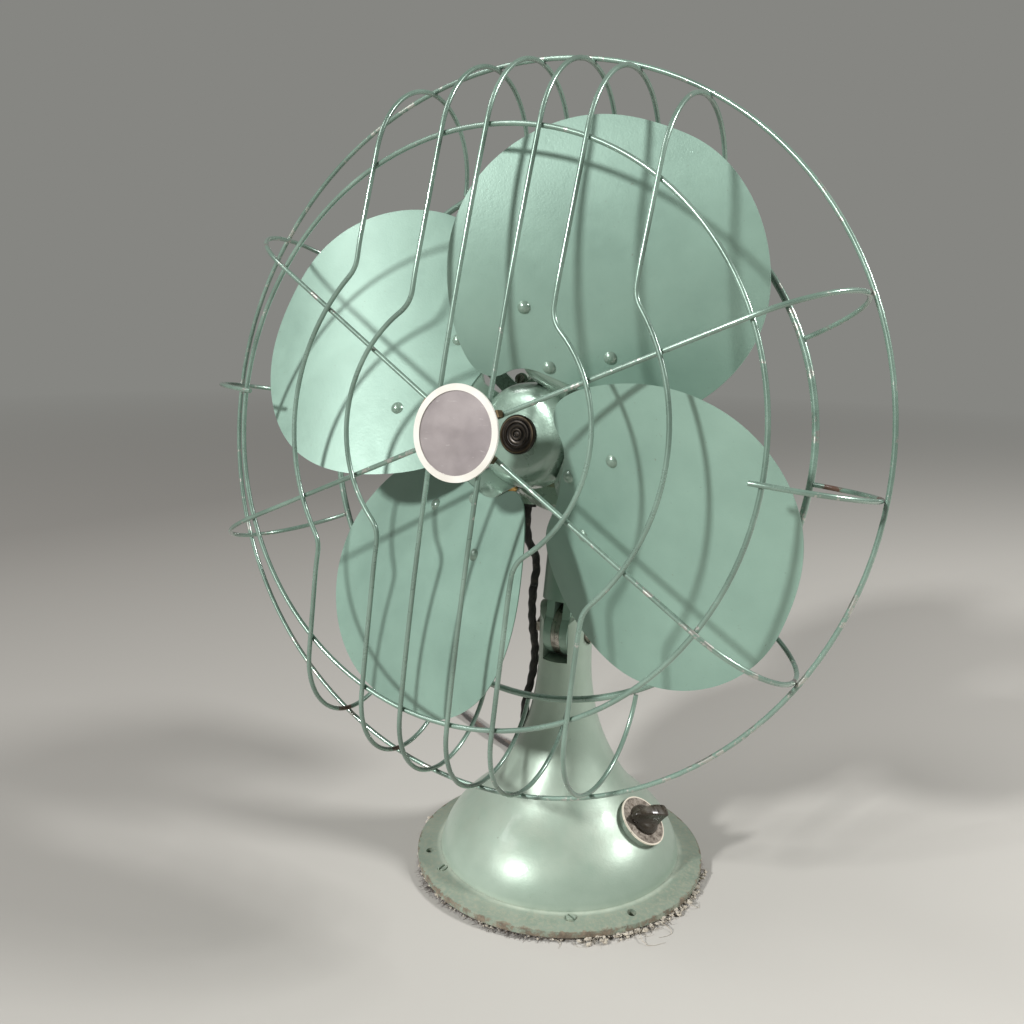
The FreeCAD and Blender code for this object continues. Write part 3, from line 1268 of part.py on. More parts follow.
def guard_brackets():
    return hang_guard(Part.makeCompound([bracket(angle) for angle in BRACKET_ANGLES]))


def guard_screws():
    screws = []
    for angle in BRACKET_ANGLES:
        way = Y_AXIS * -1
        seat = vec(0, COVER_FRONT_Y - BRACKET_T, BRACKET_SCREW_ORBIT)
        head = slotted_head(BRACKET_SCREW_HEAD_R, BRACKET_SCREW_HEAD_H, seat, way, X_AXIS)
        shank = cylinder(BRACKET_SCREW_R, BRACKET_T + MOTOR_WALL, seat, Y_AXIS)
        screw = fuse(head, shank)
        screw.rotate(vec(0, 0, 0), Y_AXIS, angle)
        screws.append(screw)
    return hang_guard(Part.makeCompound(screws))


BADGE_STATION = WIRE_FRONT + STRAIGHT_RISE + WIRE_R


def badge_back():
    """Plate behind the badge, resting on the straight wires, with a tab down to each spoke."""
    plate = cylinder(BADGE_BACK_R, BADGE_BACK_T, vec(0, -BADGE_STATION, -BADGE_DROP), Y_AXIS * -1)
    root = BADGE_BACK_R - BADGE_TAB_ROOT
    tabs = []
    for angle in SPOKE_ANGLES:
        low = SPOKE_INNER_STATION + WIRE_R
        tab = box((-BADGE_TAB_W / 2, BADGE_TAB_W / 2), (-BADGE_STATION - BADGE_BACK_T, -low),
                  (root, root + BADGE_TAB_L))
        tab.rotate(vec(0, 0, 0), Y_AXIS, angle)
        tabs.append(tab)
    return hang_guard(fuse(plate, *tabs))


def badge_rim():
    start = vec(0, -BADGE_STATION - BADGE_BACK_T, -BADGE_DROP)
    return hang_guard(tube(BADGE_R, BADGE_R - BADGE_RIM_W, BADGE_RIM_H, start, Y_AXIS * -1))


def badge_face():
    start = vec(0, -BADGE_STATION - BADGE_BACK_T, -BADGE_DROP)
    return hang_guard(cylinder(BADGE_R - BADGE_RIM_W, BADGE_FACE_T, start, Y_AXIS * -1))


# ================================================================ power cord
def cord_way():
    return on_base(CORD_EXIT_ANGLE, 1, 0)


BUSH_END_R = BELL_SHOULDER[0] + CORD_BUSH_PROUD


def cord_bushing():
    start = on_base(CORD_EXIT_ANGLE, BUSH_END_R - CORD_BUSH_L, CORD_EXIT_Z)
    return cylinder(CORD_BUSH_R, CORD_BUSH_L, start, cord_way())


def strain_relief():
    start = on_base(CORD_EXIT_ANGLE, BUSH_END_R, CORD_EXIT_Z)
    return Part.makeCone(RELIEF_R, RELIEF_TIP_R, RELIEF_L, start, cord_way())


def coil_inner_r():
    return COIL_R - COIL_TURNS_WIDE * CORD_D


def cord_coil():
    return tube(COIL_R, coil_inner_r(), CORD_D * COIL_TURNS_HIGH, vec(*COIL_CENTRE, 0))


def tail_frame():
    """Where the last turn leaves the coil along its tangent, and that direction."""
    angle = radians(TAIL_ANGLE)
    turn_r = COIL_R - CORD_D / 2
    place = vec(*COIL_CENTRE, PLUG_H / 2) + vec(turn_r * cos(angle), turn_r * sin(angle), 0)
    return place, vec(sin(angle), -cos(angle), 0)


def power_cord():
    """From the strain relief into the coil's outer turn, and from the coil to the plug."""
    start = on_base(CORD_EXIT_ANGLE, BUSH_END_R + RELIEF_L, CORD_EXIT_Z)
    end = vec(*COIL_CENTRE, CORD_D / 2) - Y_AXIS * (COIL_R - CORD_D / 2)
    run = cord_tube([tuple(start), *CORD_ROUTE, tuple(end)], CORD_D, "power cord")
    place, way = tail_frame()
    tail = cylinder(CORD_D / 2, TAIL_L, place, way)
    coil = cylinder(COIL_R, CORD_D * COIL_TURNS_HIGH, vec(*COIL_CENTRE, 0))
    return Part.makeCompound([run.cut(coil), tail.cut(coil)])


def plug_frame():
    """The plug lies beside the coil on the cord's end."""
    place, way = tail_frame()
    return place + way * TAIL_L, way


def plug_body():
    start, way = plug_frame()
    neck = cylinder(PLUG_NECK_R, PLUG_NECK_L, start, way)
    block = Part.makeBox(PLUG_W, PLUG_H, PLUG_L, vec(-PLUG_W / 2, -PLUG_H / 2, 0))
    block = block.makeFillet(PLUG_ROUND, [e for e in block.Edges if e.Length == PLUG_L])
    turn = FreeCAD.Rotation(way.cross(Z_AXIS), Z_AXIS, way, "ZXY")
    block.Placement = FreeCAD.Placement(start + way * PLUG_NECK_L, turn)
    return fuse(neck, block)


def plug_blades():
    start, way = plug_frame()
    side = way.cross(Z_AXIS)
    blades = []
    for offset in (-BLADE_PIN_GAP / 2, BLADE_PIN_GAP / 2):
        pin = Part.makeBox(BLADE_PIN_T, BLADE_PIN_W, BLADE_PIN_L, vec(-BLADE_PIN_T / 2, -BLADE_PIN_W / 2, 0))
        turn = FreeCAD.Rotation(side, Z_AXIS, way, "ZXY")
        pin.Placement = FreeCAD.Placement(start + way * (PLUG_NECK_L + PLUG_L) + side * offset, turn)
        blades.append(pin)
    return Part.makeCompound(blades)


# ================================================================ every node
def nodes():
    made = {
        "base_casting": base_casting(), "base_felt": base_felt(), "base_cover": base_cover(),
        "base_screws": base_screws(), "dial_plate": dial_plate(), "switch_body": switch_body(),
        "switch_bush": switch_bush(), "switch_shaft": switch_shaft(), "switch_knob": switch_knob(),
        "knob_screw": knob_screw(), "hinge_bolt": hinge_bolt(), "hinge_nut": hinge_nut(),
        "friction_discs": friction_discs(), "cord_bushing": cord_bushing(),
        "strain_relief": strain_relief(), "power_cord": power_cord(), "cord_coil": cord_coil(),
        "plug_body": plug_body(), "plug_blades": plug_blades(), "neck_casting": neck_casting(),
        "swivel_spindle": swivel_spindle(), "thrust_washer": thrust_washer(), "link_pin": link_pin(),
        "link_arm": link_arm(), "motor_body": motor_body(), "motor_cover": motor_cover(),
        "cover_screws": cover_screws(), "stator": stator(), "windings": windings(),
        "bearings": bearings(), "oil_cups": oil_cups(), "lead_bushing": lead_bushing(),
        "motor_lead": motor_lead(), "gear_case": gear_case(), "worm_wheel": worm_wheel(),
        "crank_disc": crank_disc(), "clutch_knob": clutch_knob(), "blade_spider": blade_spider(),
        "hub_screw": hub_screw(), "blade_rivets": blade_rivets(), "nose_cap": nose_cap(),
        "motor_shaft": motor_shaft(), "rotor_core": rotor_core(),
        "guard_outer_ring": ring(OUTER_RING_R, OUTER_RING_STATION, RING_WIRE_R),
        "guard_front_ring": ring(FRONT_RING_R, FRONT_RING_STATION, RING_WIRE_R),
        "guard_rear_ring": ring(REAR_RING_R, REAR_RING_STATION, REAR_WIRE_R),
        "guard_wires_straight": hang_guard(Part.makeCompound([straight_wire(s) for s in (-1, 1)])),
        "guard_wires_inner": hang_guard(Part.makeCompound(
            [bowed_wire(INNER_X, INNER_BOW_R, INNER_PLANE, s) for s in (-1, 1)])),
        "guard_wires_outer": hang_guard(Part.makeCompound(
            [bowed_wire(OUTER_X, OUTER_BOW_R, OUTER_PLANE, s) for s in (-1, 1)])),
        "guard_spokes": hang_guard(Part.makeCompound([spoke(a) for a in SPOKE_ANGLES])),
        "guard_side_loops": hang_guard(Part.makeCompound([side_loop(a) for a in SIDE_ANGLES])),
        "guard_brackets": guard_brackets(), "guard_screws": guard_screws(),
        "badge_back": badge_back(), "badge_rim": badge_rim(), "badge_face": badge_face(),
    }
    for index in range(BLADE_COUNT):
        made["blade_%d" % (index + 1)] = fan_blade(index)
    return made


os.makedirs("parts", exist_ok=True)
for name, shape in nodes().items():
    shape.exportStep(os.path.join("parts", name + ".step"))
    state = "valid" if shape.isValid() else "BAD"
    print(name, len(shape.Solids), "solids", round(shape.Volume, 1), "mm3", state)
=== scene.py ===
"""Looks of an oscillating desk fan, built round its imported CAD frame."""
import math
import random

import bmesh
import bpy
from mathutils import Matrix, Vector


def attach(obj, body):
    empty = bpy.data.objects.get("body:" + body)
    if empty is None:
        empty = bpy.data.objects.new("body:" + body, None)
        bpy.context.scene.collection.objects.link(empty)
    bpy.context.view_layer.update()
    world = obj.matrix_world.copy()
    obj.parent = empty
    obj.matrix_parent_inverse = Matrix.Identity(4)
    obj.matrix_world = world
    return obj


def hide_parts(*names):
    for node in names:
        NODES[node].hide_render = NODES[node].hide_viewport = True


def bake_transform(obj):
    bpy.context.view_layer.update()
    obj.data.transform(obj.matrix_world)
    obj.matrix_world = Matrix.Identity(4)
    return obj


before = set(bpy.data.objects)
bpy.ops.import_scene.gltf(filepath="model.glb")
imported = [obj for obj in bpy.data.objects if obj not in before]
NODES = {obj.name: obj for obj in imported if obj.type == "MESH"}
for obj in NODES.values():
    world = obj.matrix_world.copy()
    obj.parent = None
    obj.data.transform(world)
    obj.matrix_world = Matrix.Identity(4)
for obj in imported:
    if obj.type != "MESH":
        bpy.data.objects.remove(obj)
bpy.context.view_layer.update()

MM = 0.001
UP = Vector((0, 0, 1))
FULL_TURN = 2 * math.pi

# ------------------------------------------------ places on the part, in millimetres
PIVOT_Z = 183.0
HEAD_LEAN = math.radians(9.26)
AXIS_Z = 321.4
GUARD_ROLL = math.radians(3.67)
FELT_R = 104.8
FELT_T = 3.5
FLANGE_R = 107.9
DIAL_CENTRE = Vector((68.9, -5.3, 51.2))
DIAL_AZIMUTH = math.radians(86.0)
DIAL_LEAN = math.radians(49.0)
DIAL_FLAT = math.cos(DIAL_LEAN)
DIAL_NORMAL = Vector((DIAL_FLAT * math.sin(DIAL_AZIMUTH), -DIAL_FLAT * math.cos(DIAL_AZIMUTH),
                      math.sin(DIAL_LEAN)))
CORD_STRANDS = 2
LEAD_STRANDS = 3


def leaned(point):
    """A point of the upright head or neck, moved to where it stands tilted back."""
    x, y, z = point
    c, s = math.cos(HEAD_LEAN), math.sin(HEAD_LEAN)
    return Vector((x, y * c + (z - PIVOT_Z) * s, -y * s + (z - PIVOT_Z) * c + PIVOT_Z))


def on_guard(x, station, z):
    """A point of the guard's own frame, centred on the fan axis."""
    c, s = math.cos(GUARD_ROLL), math.sin(GUARD_ROLL)
    return leaned((x * c + z * s, -station, -x * s + z * c + AXIS_Z))


# ------------------------------------------------ material kit
# the middle range of a noise, which passes over nearly all of its values
WIDE = (0.3, 0.7)
# a spot round a point: its full core, as a share of its radius, and how its edge is cut
SPOT_CORE = 0.35
SPOT_EDGE = (0.25, 0.5)


def rgb(code):
    """Linear colour from an sRGB hex code."""
    parts = [int(code[i:i + 2], 16) / 255 for i in (0, 2, 4)]
    linear = [p / 12.92 if p <= 0.04045 else ((p + 0.055) / 1.055) ** 2.4 for p in parts]
    return (*linear, 1.0)


class Paint:
    """A principled material whose sockets are fed by a chain of small steps."""

    def __init__(self, name, **constants):
        self.material = bpy.data.materials.new(name)
        self.material.use_nodes = True
        self.tree = self.material.node_tree
        self.shader = self.tree.nodes["Principled BSDF"]
        for key, value in constants.items():
            self.shader.inputs[key.replace("_", " ")].default_value = value
        coords = self.node("ShaderNodeTexCoord")
        self.place = coords.outputs["Object"]
        self.strip = coords.outputs["UV"]

    def node(self, kind, inputs=(), **settings):
        made = self.tree.nodes.new(kind)
        for key, value in settings.items():
            setattr(made, key, value)
        for key, value in dict(inputs).items():
            if isinstance(value, bpy.types.NodeSocket):
                self.tree.links.new(value, made.inputs[key])
            else:
                made.inputs[key].default_value = value
        return made

    def noise(self, scale, detail=3.0, roughness=0.55, stretch=None):
        where = self.place
        if stretch:
            where = self.node("ShaderNodeMapping", {"Vector": where, "Scale": stretch}).outputs[0]
        return self.node("ShaderNodeTexNoise", {"Vector": where, "Scale": scale, "Detail": detail,
                                                "Roughness": roughness}).outputs[0]

    def ramp(self, value, low, high, start=0.0, end=1.0):
        made = self.node("ShaderNodeMapRange", {"Value": value, "From Min": low, "From Max": high,
                                                "To Min": start, "To Max": end})
        made.clamp = True
        return made.outputs[0]

    def math(self, operation, a, b=0.0):
        return self.node("ShaderNodeMath", {0: a, 1: b}, operation=operation).outputs[0]

    def product(self, first, *others):
        for other in others:
            first = self.math("MULTIPLY", first, other)
        return first

    def band(self, value, rise, fall):
        """1 between the two ramps, 0 outside them."""
        return self.product(self.ramp(value, *rise), self.ramp(value, *fall))

    def mix(self, share, first, second):
        made = self.node("ShaderNodeMix", {0: share, 6: first, 7: second}, data_type="RGBA")
        return made.outputs[2]

    def over(self, share, colour, code):
        """A share of a plain colour laid over another."""
        return self.mix(share, colour, rgb(code))

    def tones(self, value, first, second, low=0.35, high=0.65):
        """Two plain colours, passing from one to the other as the value rises."""
        return self.mix(self.ramp(value, low, high), rgb(first), rgb(second))

    def axis(self, index, of=None):
        return self.node("ShaderNodeSeparateXYZ", {0: of or self.place}).outputs[index]

    def facing_up(self):
        normal = self.node("ShaderNodeNewGeometry").outputs["Normal"]
        return self.axis(2, normal)

    def vector(self, operation, first, second=None):
        inputs = {0: first} if second is None else {0: first, 1: second}
        return self.node("ShaderNodeVectorMath", inputs, operation=operation).outputs

    def from_axis(self):
        """Distance from the upright line through the middle of the base."""
        flat = self.vector("MULTIPLY", self.place, (1.0, 1.0, 0.0))[0]
        return self.vector("LENGTH", flat)["Value"]

    def round_axis(self, point, way):
        """Distance from the line through a point, and how far along it a place is."""
        offset = self.vector("SUBTRACT", self.place, Vector(point) * MM)[0]
        across = self.vector("CROSS_PRODUCT", offset, Vector(way))[0]
        along = self.vector("DOT_PRODUCT", offset, Vector(way))["Value"]
        return self.vector("LENGTH", across)["Value"], along

    def near(self, points, radius, ragged):
        """1 close to any of the points, 0 away from them, with an edge broken by noise."""
        total = None
        for point in points:
            gap = self.vector("DISTANCE", self.place, Vector(point) * MM)["Value"]
            share = self.ramp(gap, radius * MM, radius * MM * SPOT_CORE)
            total = share if total is None else self.math("MAXIMUM", total, share)
        return self.ramp(self.product(total, ragged), *SPOT_EDGE)

    def bump(self, height, strength, distance, after=None):
        inputs = {"Height": height, "Strength": strength, "Distance": distance}
        if after is not None:
            inputs["Normal"] = after
        return self.node("ShaderNodeBump", inputs).outputs[0]

    def feed(self, colour=None, roughness=None, metallic=None, normal=None):
        pairs = {"Base Color": colour, "Roughness": roughness, "Metallic": metallic,
                 "Normal": normal}
        for key, value in pairs.items():
            if value is None:
                continue
            if isinstance(value, bpy.types.NodeSocket):
                self.tree.links.new(value, self.shader.inputs[key])
            else:
                self.shader.inputs[key].default_value = value
        return self.material


# ------------------------------------------------ enamel
GREEN = "a4b5a6"
GREEN_DEEP = "92a595"
DUST = "b3b0a2"
GRIME = "6d6a5e"
RUST = "5a3b2a"
# spots of wear and rust, in millimetres
WORN_R = 6.0
RUST_R = 12.0

# the foot of the base casting, in metres: heights, and distances from the base's axis
FLANGE_TONE_Z = (0.0125, 0.0095)
CREASE_RISE, CREASE_FALL = (0.0893, 0.0909), (0.0938, 0.0917)
EDGE_WEAR = (0.1070, 0.1084)
EDGE_RAGGED = 0.0022
# painted shade and grime round the dial's pad, where the dial overhangs it, in metres from the
# dial's axis and along it
PAD_RISE, PAD_FALL = (0.0162, 0.0172), (0.0204, 0.0186)
PAD_DEPTH = (0.0006, -0.0002)


def foot_soiling_and_painted_light(p, colour, rough):
    """The flange's own tone, dust settled on it, a painted highlight with dust along the crease,
    a worn edge and painted shade with grime round the dial's pad.
    """
    flat = p.ramp(p.axis(2), *FLANGE_TONE_Z)
    reach = p.from_axis()
    flange = p.tones(p.noise(40.0, 4.0, 0.6), "7c8c7c", "8e9a8a")
    colour = p.mix(p.product(flat, 0.75), colour, flange)
    settled = p.product(flat, p.ramp(p.noise(330.0, 6.0, 0.75), 0.45, 0.66, 0.0, 0.5))
    colour = p.over(settled, colour, "b3ad97")
    # painted highlight with dust: a pale green line along the crease at the bell's foot
    crease_highlight_and_dust = p.product(p.band(reach, CREASE_RISE, CREASE_FALL),
                       p.ramp(p.noise(45.0, 5.0, 0.65), 0.3, 0.65, 0.1, 0.75))
    colour = p.over(crease_highlight_and_dust, colour, "c6d0bf")
    uneven = p.ramp(p.noise(130.0, 5.0, 0.7), *WIDE, -EDGE_RAGGED, EDGE_RAGGED)
    edge = p.ramp(p.math("ADD", reach, uneven), *EDGE_WEAR)
    colour = p.mix(edge, colour, p.tones(p.noise(260.0, 5.0), "5c5043", "8b7f6d"))
    around, along = p.round_axis(DIAL_CENTRE, DIAL_NORMAL)
    # painted shade with grime: a dark ring round the pad, under the dial's overhang
    pad_shade_and_grime = p.product(p.band(around, PAD_RISE, PAD_FALL), p.ramp(along, *PAD_DEPTH),
                      p.ramp(p.noise(140.0, 4.0, 0.7), 0.25, 0.6, 0.15, 0.5))
    colour = p.over(pad_shade_and_grime, colour, "565c50")
    dull = p.product(p.math("MAXIMUM", settled, edge), 0.4)
    return colour, p.math("ADD", rough, dull)


def enamel(name, light, deep, gloss, dust, worn_points=(), with_foot_soiling_and_light=False, coat=0.35,
           coat_rough=0.1, pearl=0.35):
    """Old sprayed enamel: slight orange peel, uneven tone, dust on top, specks and worn spots."""
    p = Paint(name, Coat_Weight=coat, Coat_Roughness=coat_rough, Metallic=pearl)
    colour = p.tones(p.noise(16.0, 4.0), light, deep, 0.35, 0.68)
    speck = p.ramp(p.noise(310.0, 3.0, 0.7), 0.68, 0.75)
    colour = p.over(p.product(speck, 0.5), colour, GRIME)
    film = p.product(p.ramp(p.facing_up(), 0.35, 0.95),
                     p.ramp(p.noise(55.0, 5.0, 0.65), *WIDE), dust)
    colour = p.over(film, colour, DUST)
    sheen = p.ramp(p.noise(90.0, 4.0), *WIDE, gloss - 0.04, gloss + 0.07)
    rough = p.math("ADD", sheen, p.product(film, 0.35))
    if with_foot_soiling_and_light:
        colour, rough = foot_soiling_and_painted_light(p, colour, rough)
    if worn_points:
        bare = p.near(worn_points, WORN_R, p.ramp(p.noise(260.0, 4.0, 0.7), 0.3, 0.6))
        colour = p.over(bare, colour, "b9a184")
    peel = p.bump(p.noise(900.0, 1.0), 0.12, 0.0004)
    return p.feed(colour, rough, None, p.bump(p.noise(420.0, 2.0), 0.08, 0.0006, peel))


def wire_paint(name, bare_share, rust_points):
    """Green wire whose enamel has rubbed through in streaks, with brown where it has rusted."""
    p = Paint(name, Coat_Weight=0.9, Coat_Roughness=0.1)
    tone = p.tones(p.noise(24.0, 3.0), "80998b", "667d70")
    streak = p.noise(75.0, 5.0, 0.7)
    rubbed = bare_share * 0.28
    bare = p.ramp(streak, 0.72 - rubbed, 0.76 - rubbed)
    colour = p.over(bare, tone, "b0b1a9")
    specks = p.ramp(p.noise(150.0, 5.0, 0.75), 0.69, 0.72)
    colour = p.over(p.product(specks, 0.8), colour, RUST)
    zone = p.near(rust_points, RUST_R, p.ramp(p.noise(190.0, 5.0, 0.7), 0.25, 0.6))
    colour = p.over(zone, colour, "54392b")
    rusty = p.math("MAXIMUM", specks, zone)
    shiny = p.product(p.math("SUBTRACT", bare, rusty), 0.85)
    rough = p.math("ADD", p.ramp(streak, *WIDE, 0.24, 0.34), p.product(rusty, 0.4))
    normal = p.bump(p.noise(500.0, 3.0), 0.18, 0.0003)
    return p.feed(colour, rough, p.ramp(shiny, 0.0, 1.0, 0.3, 1.0), normal)


# ------------------------------------------------ metals, mouldings, cloth and the badge
def metal(name, first, second, rough, streaky=(1.0, 1.0, 1.0), dirt="3a332c"):
    """Bare metal in two close tones, with stains that are darker and duller."""
    p = Paint(name)
    colour = p.tones(p.noise(130.0, 4.0, stretch=streaky), first, second)
    stain = p.ramp(p.noise(60.0, 5.0, 0.7), 0.56, 0.7)
    colour = p.over(p.product(stain, 0.7), colour, dirt)
    sheen = p.ramp(p.noise(240.0, 3.0, stretch=streaky), *WIDE, rough - 0.08, rough + 0.1)
    gloss = p.math("ADD", sheen, p.product(stain, 0.25))
    normal = p.bump(p.noise(700.0, 2.0, stretch=streaky), 0.2, 0.0002)
    return p.feed(colour, gloss, 1.0, normal)


def moulded(name, first, second, rough):
    """Moulded bakelite, rubber or stove enamel, with dust on what faces up."""
    p = Paint(name)
    colour = p.tones(p.noise(45.0, 4.0), first, second)
    dusty = p.product(p.ramp(p.facing_up(), 0.3, 1.0), p.ramp(p.noise(160.0, 4.0, 0.7), 0.4, 0.7))
    colour = p.over(p.product(dusty, 0.2), colour, DUST)
    sheen = p.ramp(p.noise(120.0, 3.0), *WIDE, rough - 0.05, rough + 0.1)
    gloss = p.math("ADD", sheen, p.product(dusty, 0.3))
    return p.feed(colour, gloss, None, p.bump(p.noise(600.0, 3.0), 0.15, 0.0003))


def felt_material():
    p = Paint("felt", Sheen_Weight=0.6, Sheen_Roughness=0.6)
    fibres = p.noise(900.0, 6.0, 0.8)
    colour = p.tones(fibres, "3b3028", "7b6a58", *WIDE)
    colour = p.over(p.ramp(p.noise(90.0, 4.0), 0.55, 0.75), colour, "a79c8b")
    return p.feed(colour, 0.95, None, p.bump(fibres, 0.9, 0.0012))


def lint_material():
    p = Paint("lint_fluff", Sheen_Weight=0.5, Sheen_Roughness=0.6)
    fibres = p.noise(800.0, 5.0, 0.8)
    colour = p.tones(fibres, "a39884", "d0c7b5")
    colour = p.over(p.ramp(p.noise(70.0, 3.0), 0.54, 0.66), colour, "6b5c4d")
    return p.feed(colour, 0.95, None, p.bump(fibres, 0.9, 0.001))


WEAVE_RATE = 5200.0


def cloth_cord_material(name, first, second, strands):
    """Braided cover: two tones that follow the strands, a lighter and a darker copy of the
    cover's colour that paint light and shade on the strands' sides, with a fine weave and a
    little fuzz.
    """
    p = Paint(name, Sheen_Weight=0.3, Sheen_Roughness=0.5)
    phase = p.product(p.axis(0, p.strip), FULL_TURN * strands)
    # painted light and shade: each strand lighter on one side and darker on the other
    colour = p.tones(p.math("SINE", phase), first, second, -0.25, 0.25)
    along = p.product(p.axis(1, p.strip), WEAVE_RATE)
    weave = p.product(p.math("SINE", p.math("ADD", along, phase)),
                      p.math("SINE", p.math("SUBTRACT", along, phase)))
    wear_and_highlight = p.ramp(p.noise(160.0, 5.0, 0.7), 0.55, 0.75, 0.0, 0.4)
    colour = p.over(wear_and_highlight, colour, "7d7263")
    normal = p.bump(weave, 0.5, 0.0003, p.bump(p.noise(1200.0, 3.0), 0.4, 0.0004))
    return p.feed(colour, 0.82, None, normal)


def badge_face_material():
    """Dull metal plate, left bare: cloudy tone, short scratches and a few spots."""
    p = Paint("badge_face_paint", Coat_Weight=0.4, Coat_Roughness=0.2)
    colour = p.tones(p.noise(38.0, 4.0), "847c7c", "958d8c")
    scratch = p.ramp(p.noise(420.0, 3.0, stretch=(0.3, 1.0, 1.0)), 0.66, 0.74)
    colour = p.over(p.product(scratch, 0.35), colour, "c6c0bd")
    spots = p.ramp(p.noise(300.0, 4.0, 0.75), 0.7, 0.74)
    colour = p.over(p.product(spots, 0.8), colour, "5c4d44")
    rough = p.ramp(p.noise(90.0, 4.0), *WIDE, 0.3, 0.45)
    return p.feed(colour, rough, 0.25, p.bump(p.noise(500.0, 2.0), 0.08, 0.0002))


DIAL_BORDER_R = 17.9
DIAL_BORDER_SOFT = 0.15


def dial_material():
    """Stained metal face with a pale enamelled border."""
    p = Paint("dial_finish")
    reach, _ = p.round_axis(DIAL_CENTRE, DIAL_NORMAL)
    border = p.ramp(reach, (DIAL_BORDER_R - DIAL_BORDER_SOFT) * MM,
                    (DIAL_BORDER_R + DIAL_BORDER_SOFT) * MM)
    face = p.tones(p.noise(260.0, 5.0, 0.75), "a89e92", "5f554b", 0.4, 0.62)
    colour = p.over(border, face, "e4dac8")
    colour = p.over(p.ramp(p.noise(190.0, 4.0, 0.7), 0.62, 0.7, 0.0, 0.6), colour, "6b5c4c")
    metallic = p.ramp(border, 0.0, 1.0, 0.55, 0.0)
    return p.feed(colour, 0.42, metallic, p.bump(p.noise(600.0, 3.0), 0.2, 0.0002))


# the nose cap's turned rings and its painted highlight ring, in metres from the fan axis
NOSE_RING_PITCH = 0.0024
NOSE_HIGHLIGHT_RISE, NOSE_HIGHLIGHT_FALL = (0.0108, 0.0112), (0.0119, 0.0115)


def turned_nose():
    """Dark bronzed nose cap with turned rings round the fan axis, one of them painted lighter as
    a highlight.
    """
    p = Paint("nose_finish")
    reach, _ = p.round_axis(on_guard(0, 0, 0), on_guard(0, 1, 0) - on_guard(0, 0, 0))
    wave = p.math("SINE", p.product(reach, FULL_TURN / NOSE_RING_PITCH))
    colour = p.tones(wave, "15110d", "2b241b", -0.6, 0.9)
    # painted highlight: a lighter ring on the raised rim
    wear_and_highlight = p.band(reach, NOSE_HIGHLIGHT_RISE, NOSE_HIGHLIGHT_FALL)
    colour = p.over(p.product(wear_and_highlight, 0.8), colour, "5e5039")
    stain = p.ramp(p.noise(230.0, 4.0, 0.7), 0.5, 0.66)
    colour = p.over(p.product(stain, 0.6), colour, "2a241c")
    rough = p.ramp(stain, 0.0, 1.0, 0.28, 0.48)
    return p.feed(colour, rough, 0.6, p.bump(wave, 0.14, 0.0004))


# ------------------------------------------------ finishes of the carried-over solids
WORN_NECK = [(15.5, -23.0, 139.0), (16.5, -21.0, 134.5), (12.0, -17.5, 151.0)]
RUST_LOOPS = [on_guard(*spot) for spot in (
    (222.0, 100.0, 0.0), (222.0, 72.0, 0.0), (190.0, 62.0, 0.0), (172.0, 126.0, 92.0),
    (192.0, 62.0, 102.0))]
RUST_FOOT = [on_guard(*spot) for spot in (
    (-92.0, 118.0, -206.0), (-47.0, 118.0, -221.0), (-92.0, 140.0, -180.0))]

PAINTS = {
    "base": enamel("base_enamel", GREEN, GREEN_DEEP, 0.37, 0.35, with_foot_soiling_and_light=True, coat=0.3,
                   pearl=0.24),
    "body": enamel("body_enamel", GREEN, GREEN_DEEP, 0.26, 0.4),
    "neck": enamel("neck_enamel", "92aa9b", "829a8b", 0.38, 0.3, WORN_NECK, coat=0.2),
    "hub": enamel("hub_enamel", "879f90", "788f80", 0.28, 0.12, coat=0.8),
    "blade": enamel("blade_enamel", "8ba99a", "7f9c8e", 0.42, 0.12, coat=0.3, coat_rough=0.3,
                    pearl=0.25),
    "wire": wire_paint("wire_enamel", 0.25, RUST_FOOT),
    "wire_worn": wire_paint("wire_enamel_worn", 0.55, RUST_LOOPS),
    "felt": felt_material(),
    "lint": lint_material(),
    "steel": metal("bright_steel_finish", "b9b4ab", "8d877d", 0.32),
    "dial": dial_material(),
    "bakelite": moulded("bakelite", "2a241c", "3a3228", 0.22),
    "brass": metal("brass_finish", "c9a870", "a07f48", 0.3, dirt="4b3a20"),
    "bronze": metal("bronze_finish", "8c6239", "6f4c2c", 0.4),
    "nose": turned_nose(),
    "laminations": metal("lamination_finish", "6f6a66", "4f4a46", 0.5, streaky=(1.0, 60.0, 1.0)),
    "copper": metal("winding_finish", "8c4a24", "6a3418", 0.45, dirt="2e1a10"),
    "rubber": moulded("rubber_finish", "1d1b19", "2a2724", 0.6),
    "badge_rim": moulded("badge_rim_enamel", "dedcd4", "d4d0c6", 0.34),
    "badge_face": badge_face_material(),
    "badge_back": metal("badge_back_finish", "796a52", "524634", 0.5, dirt="33261a"),
    "cord": cloth_cord_material("cord_cover_finish", "4d4036", "27231f", CORD_STRANDS),
    "lead": cloth_cord_material("lead_cover_finish", "1c1a18", "2c2825", LEAD_STRANDS),
}
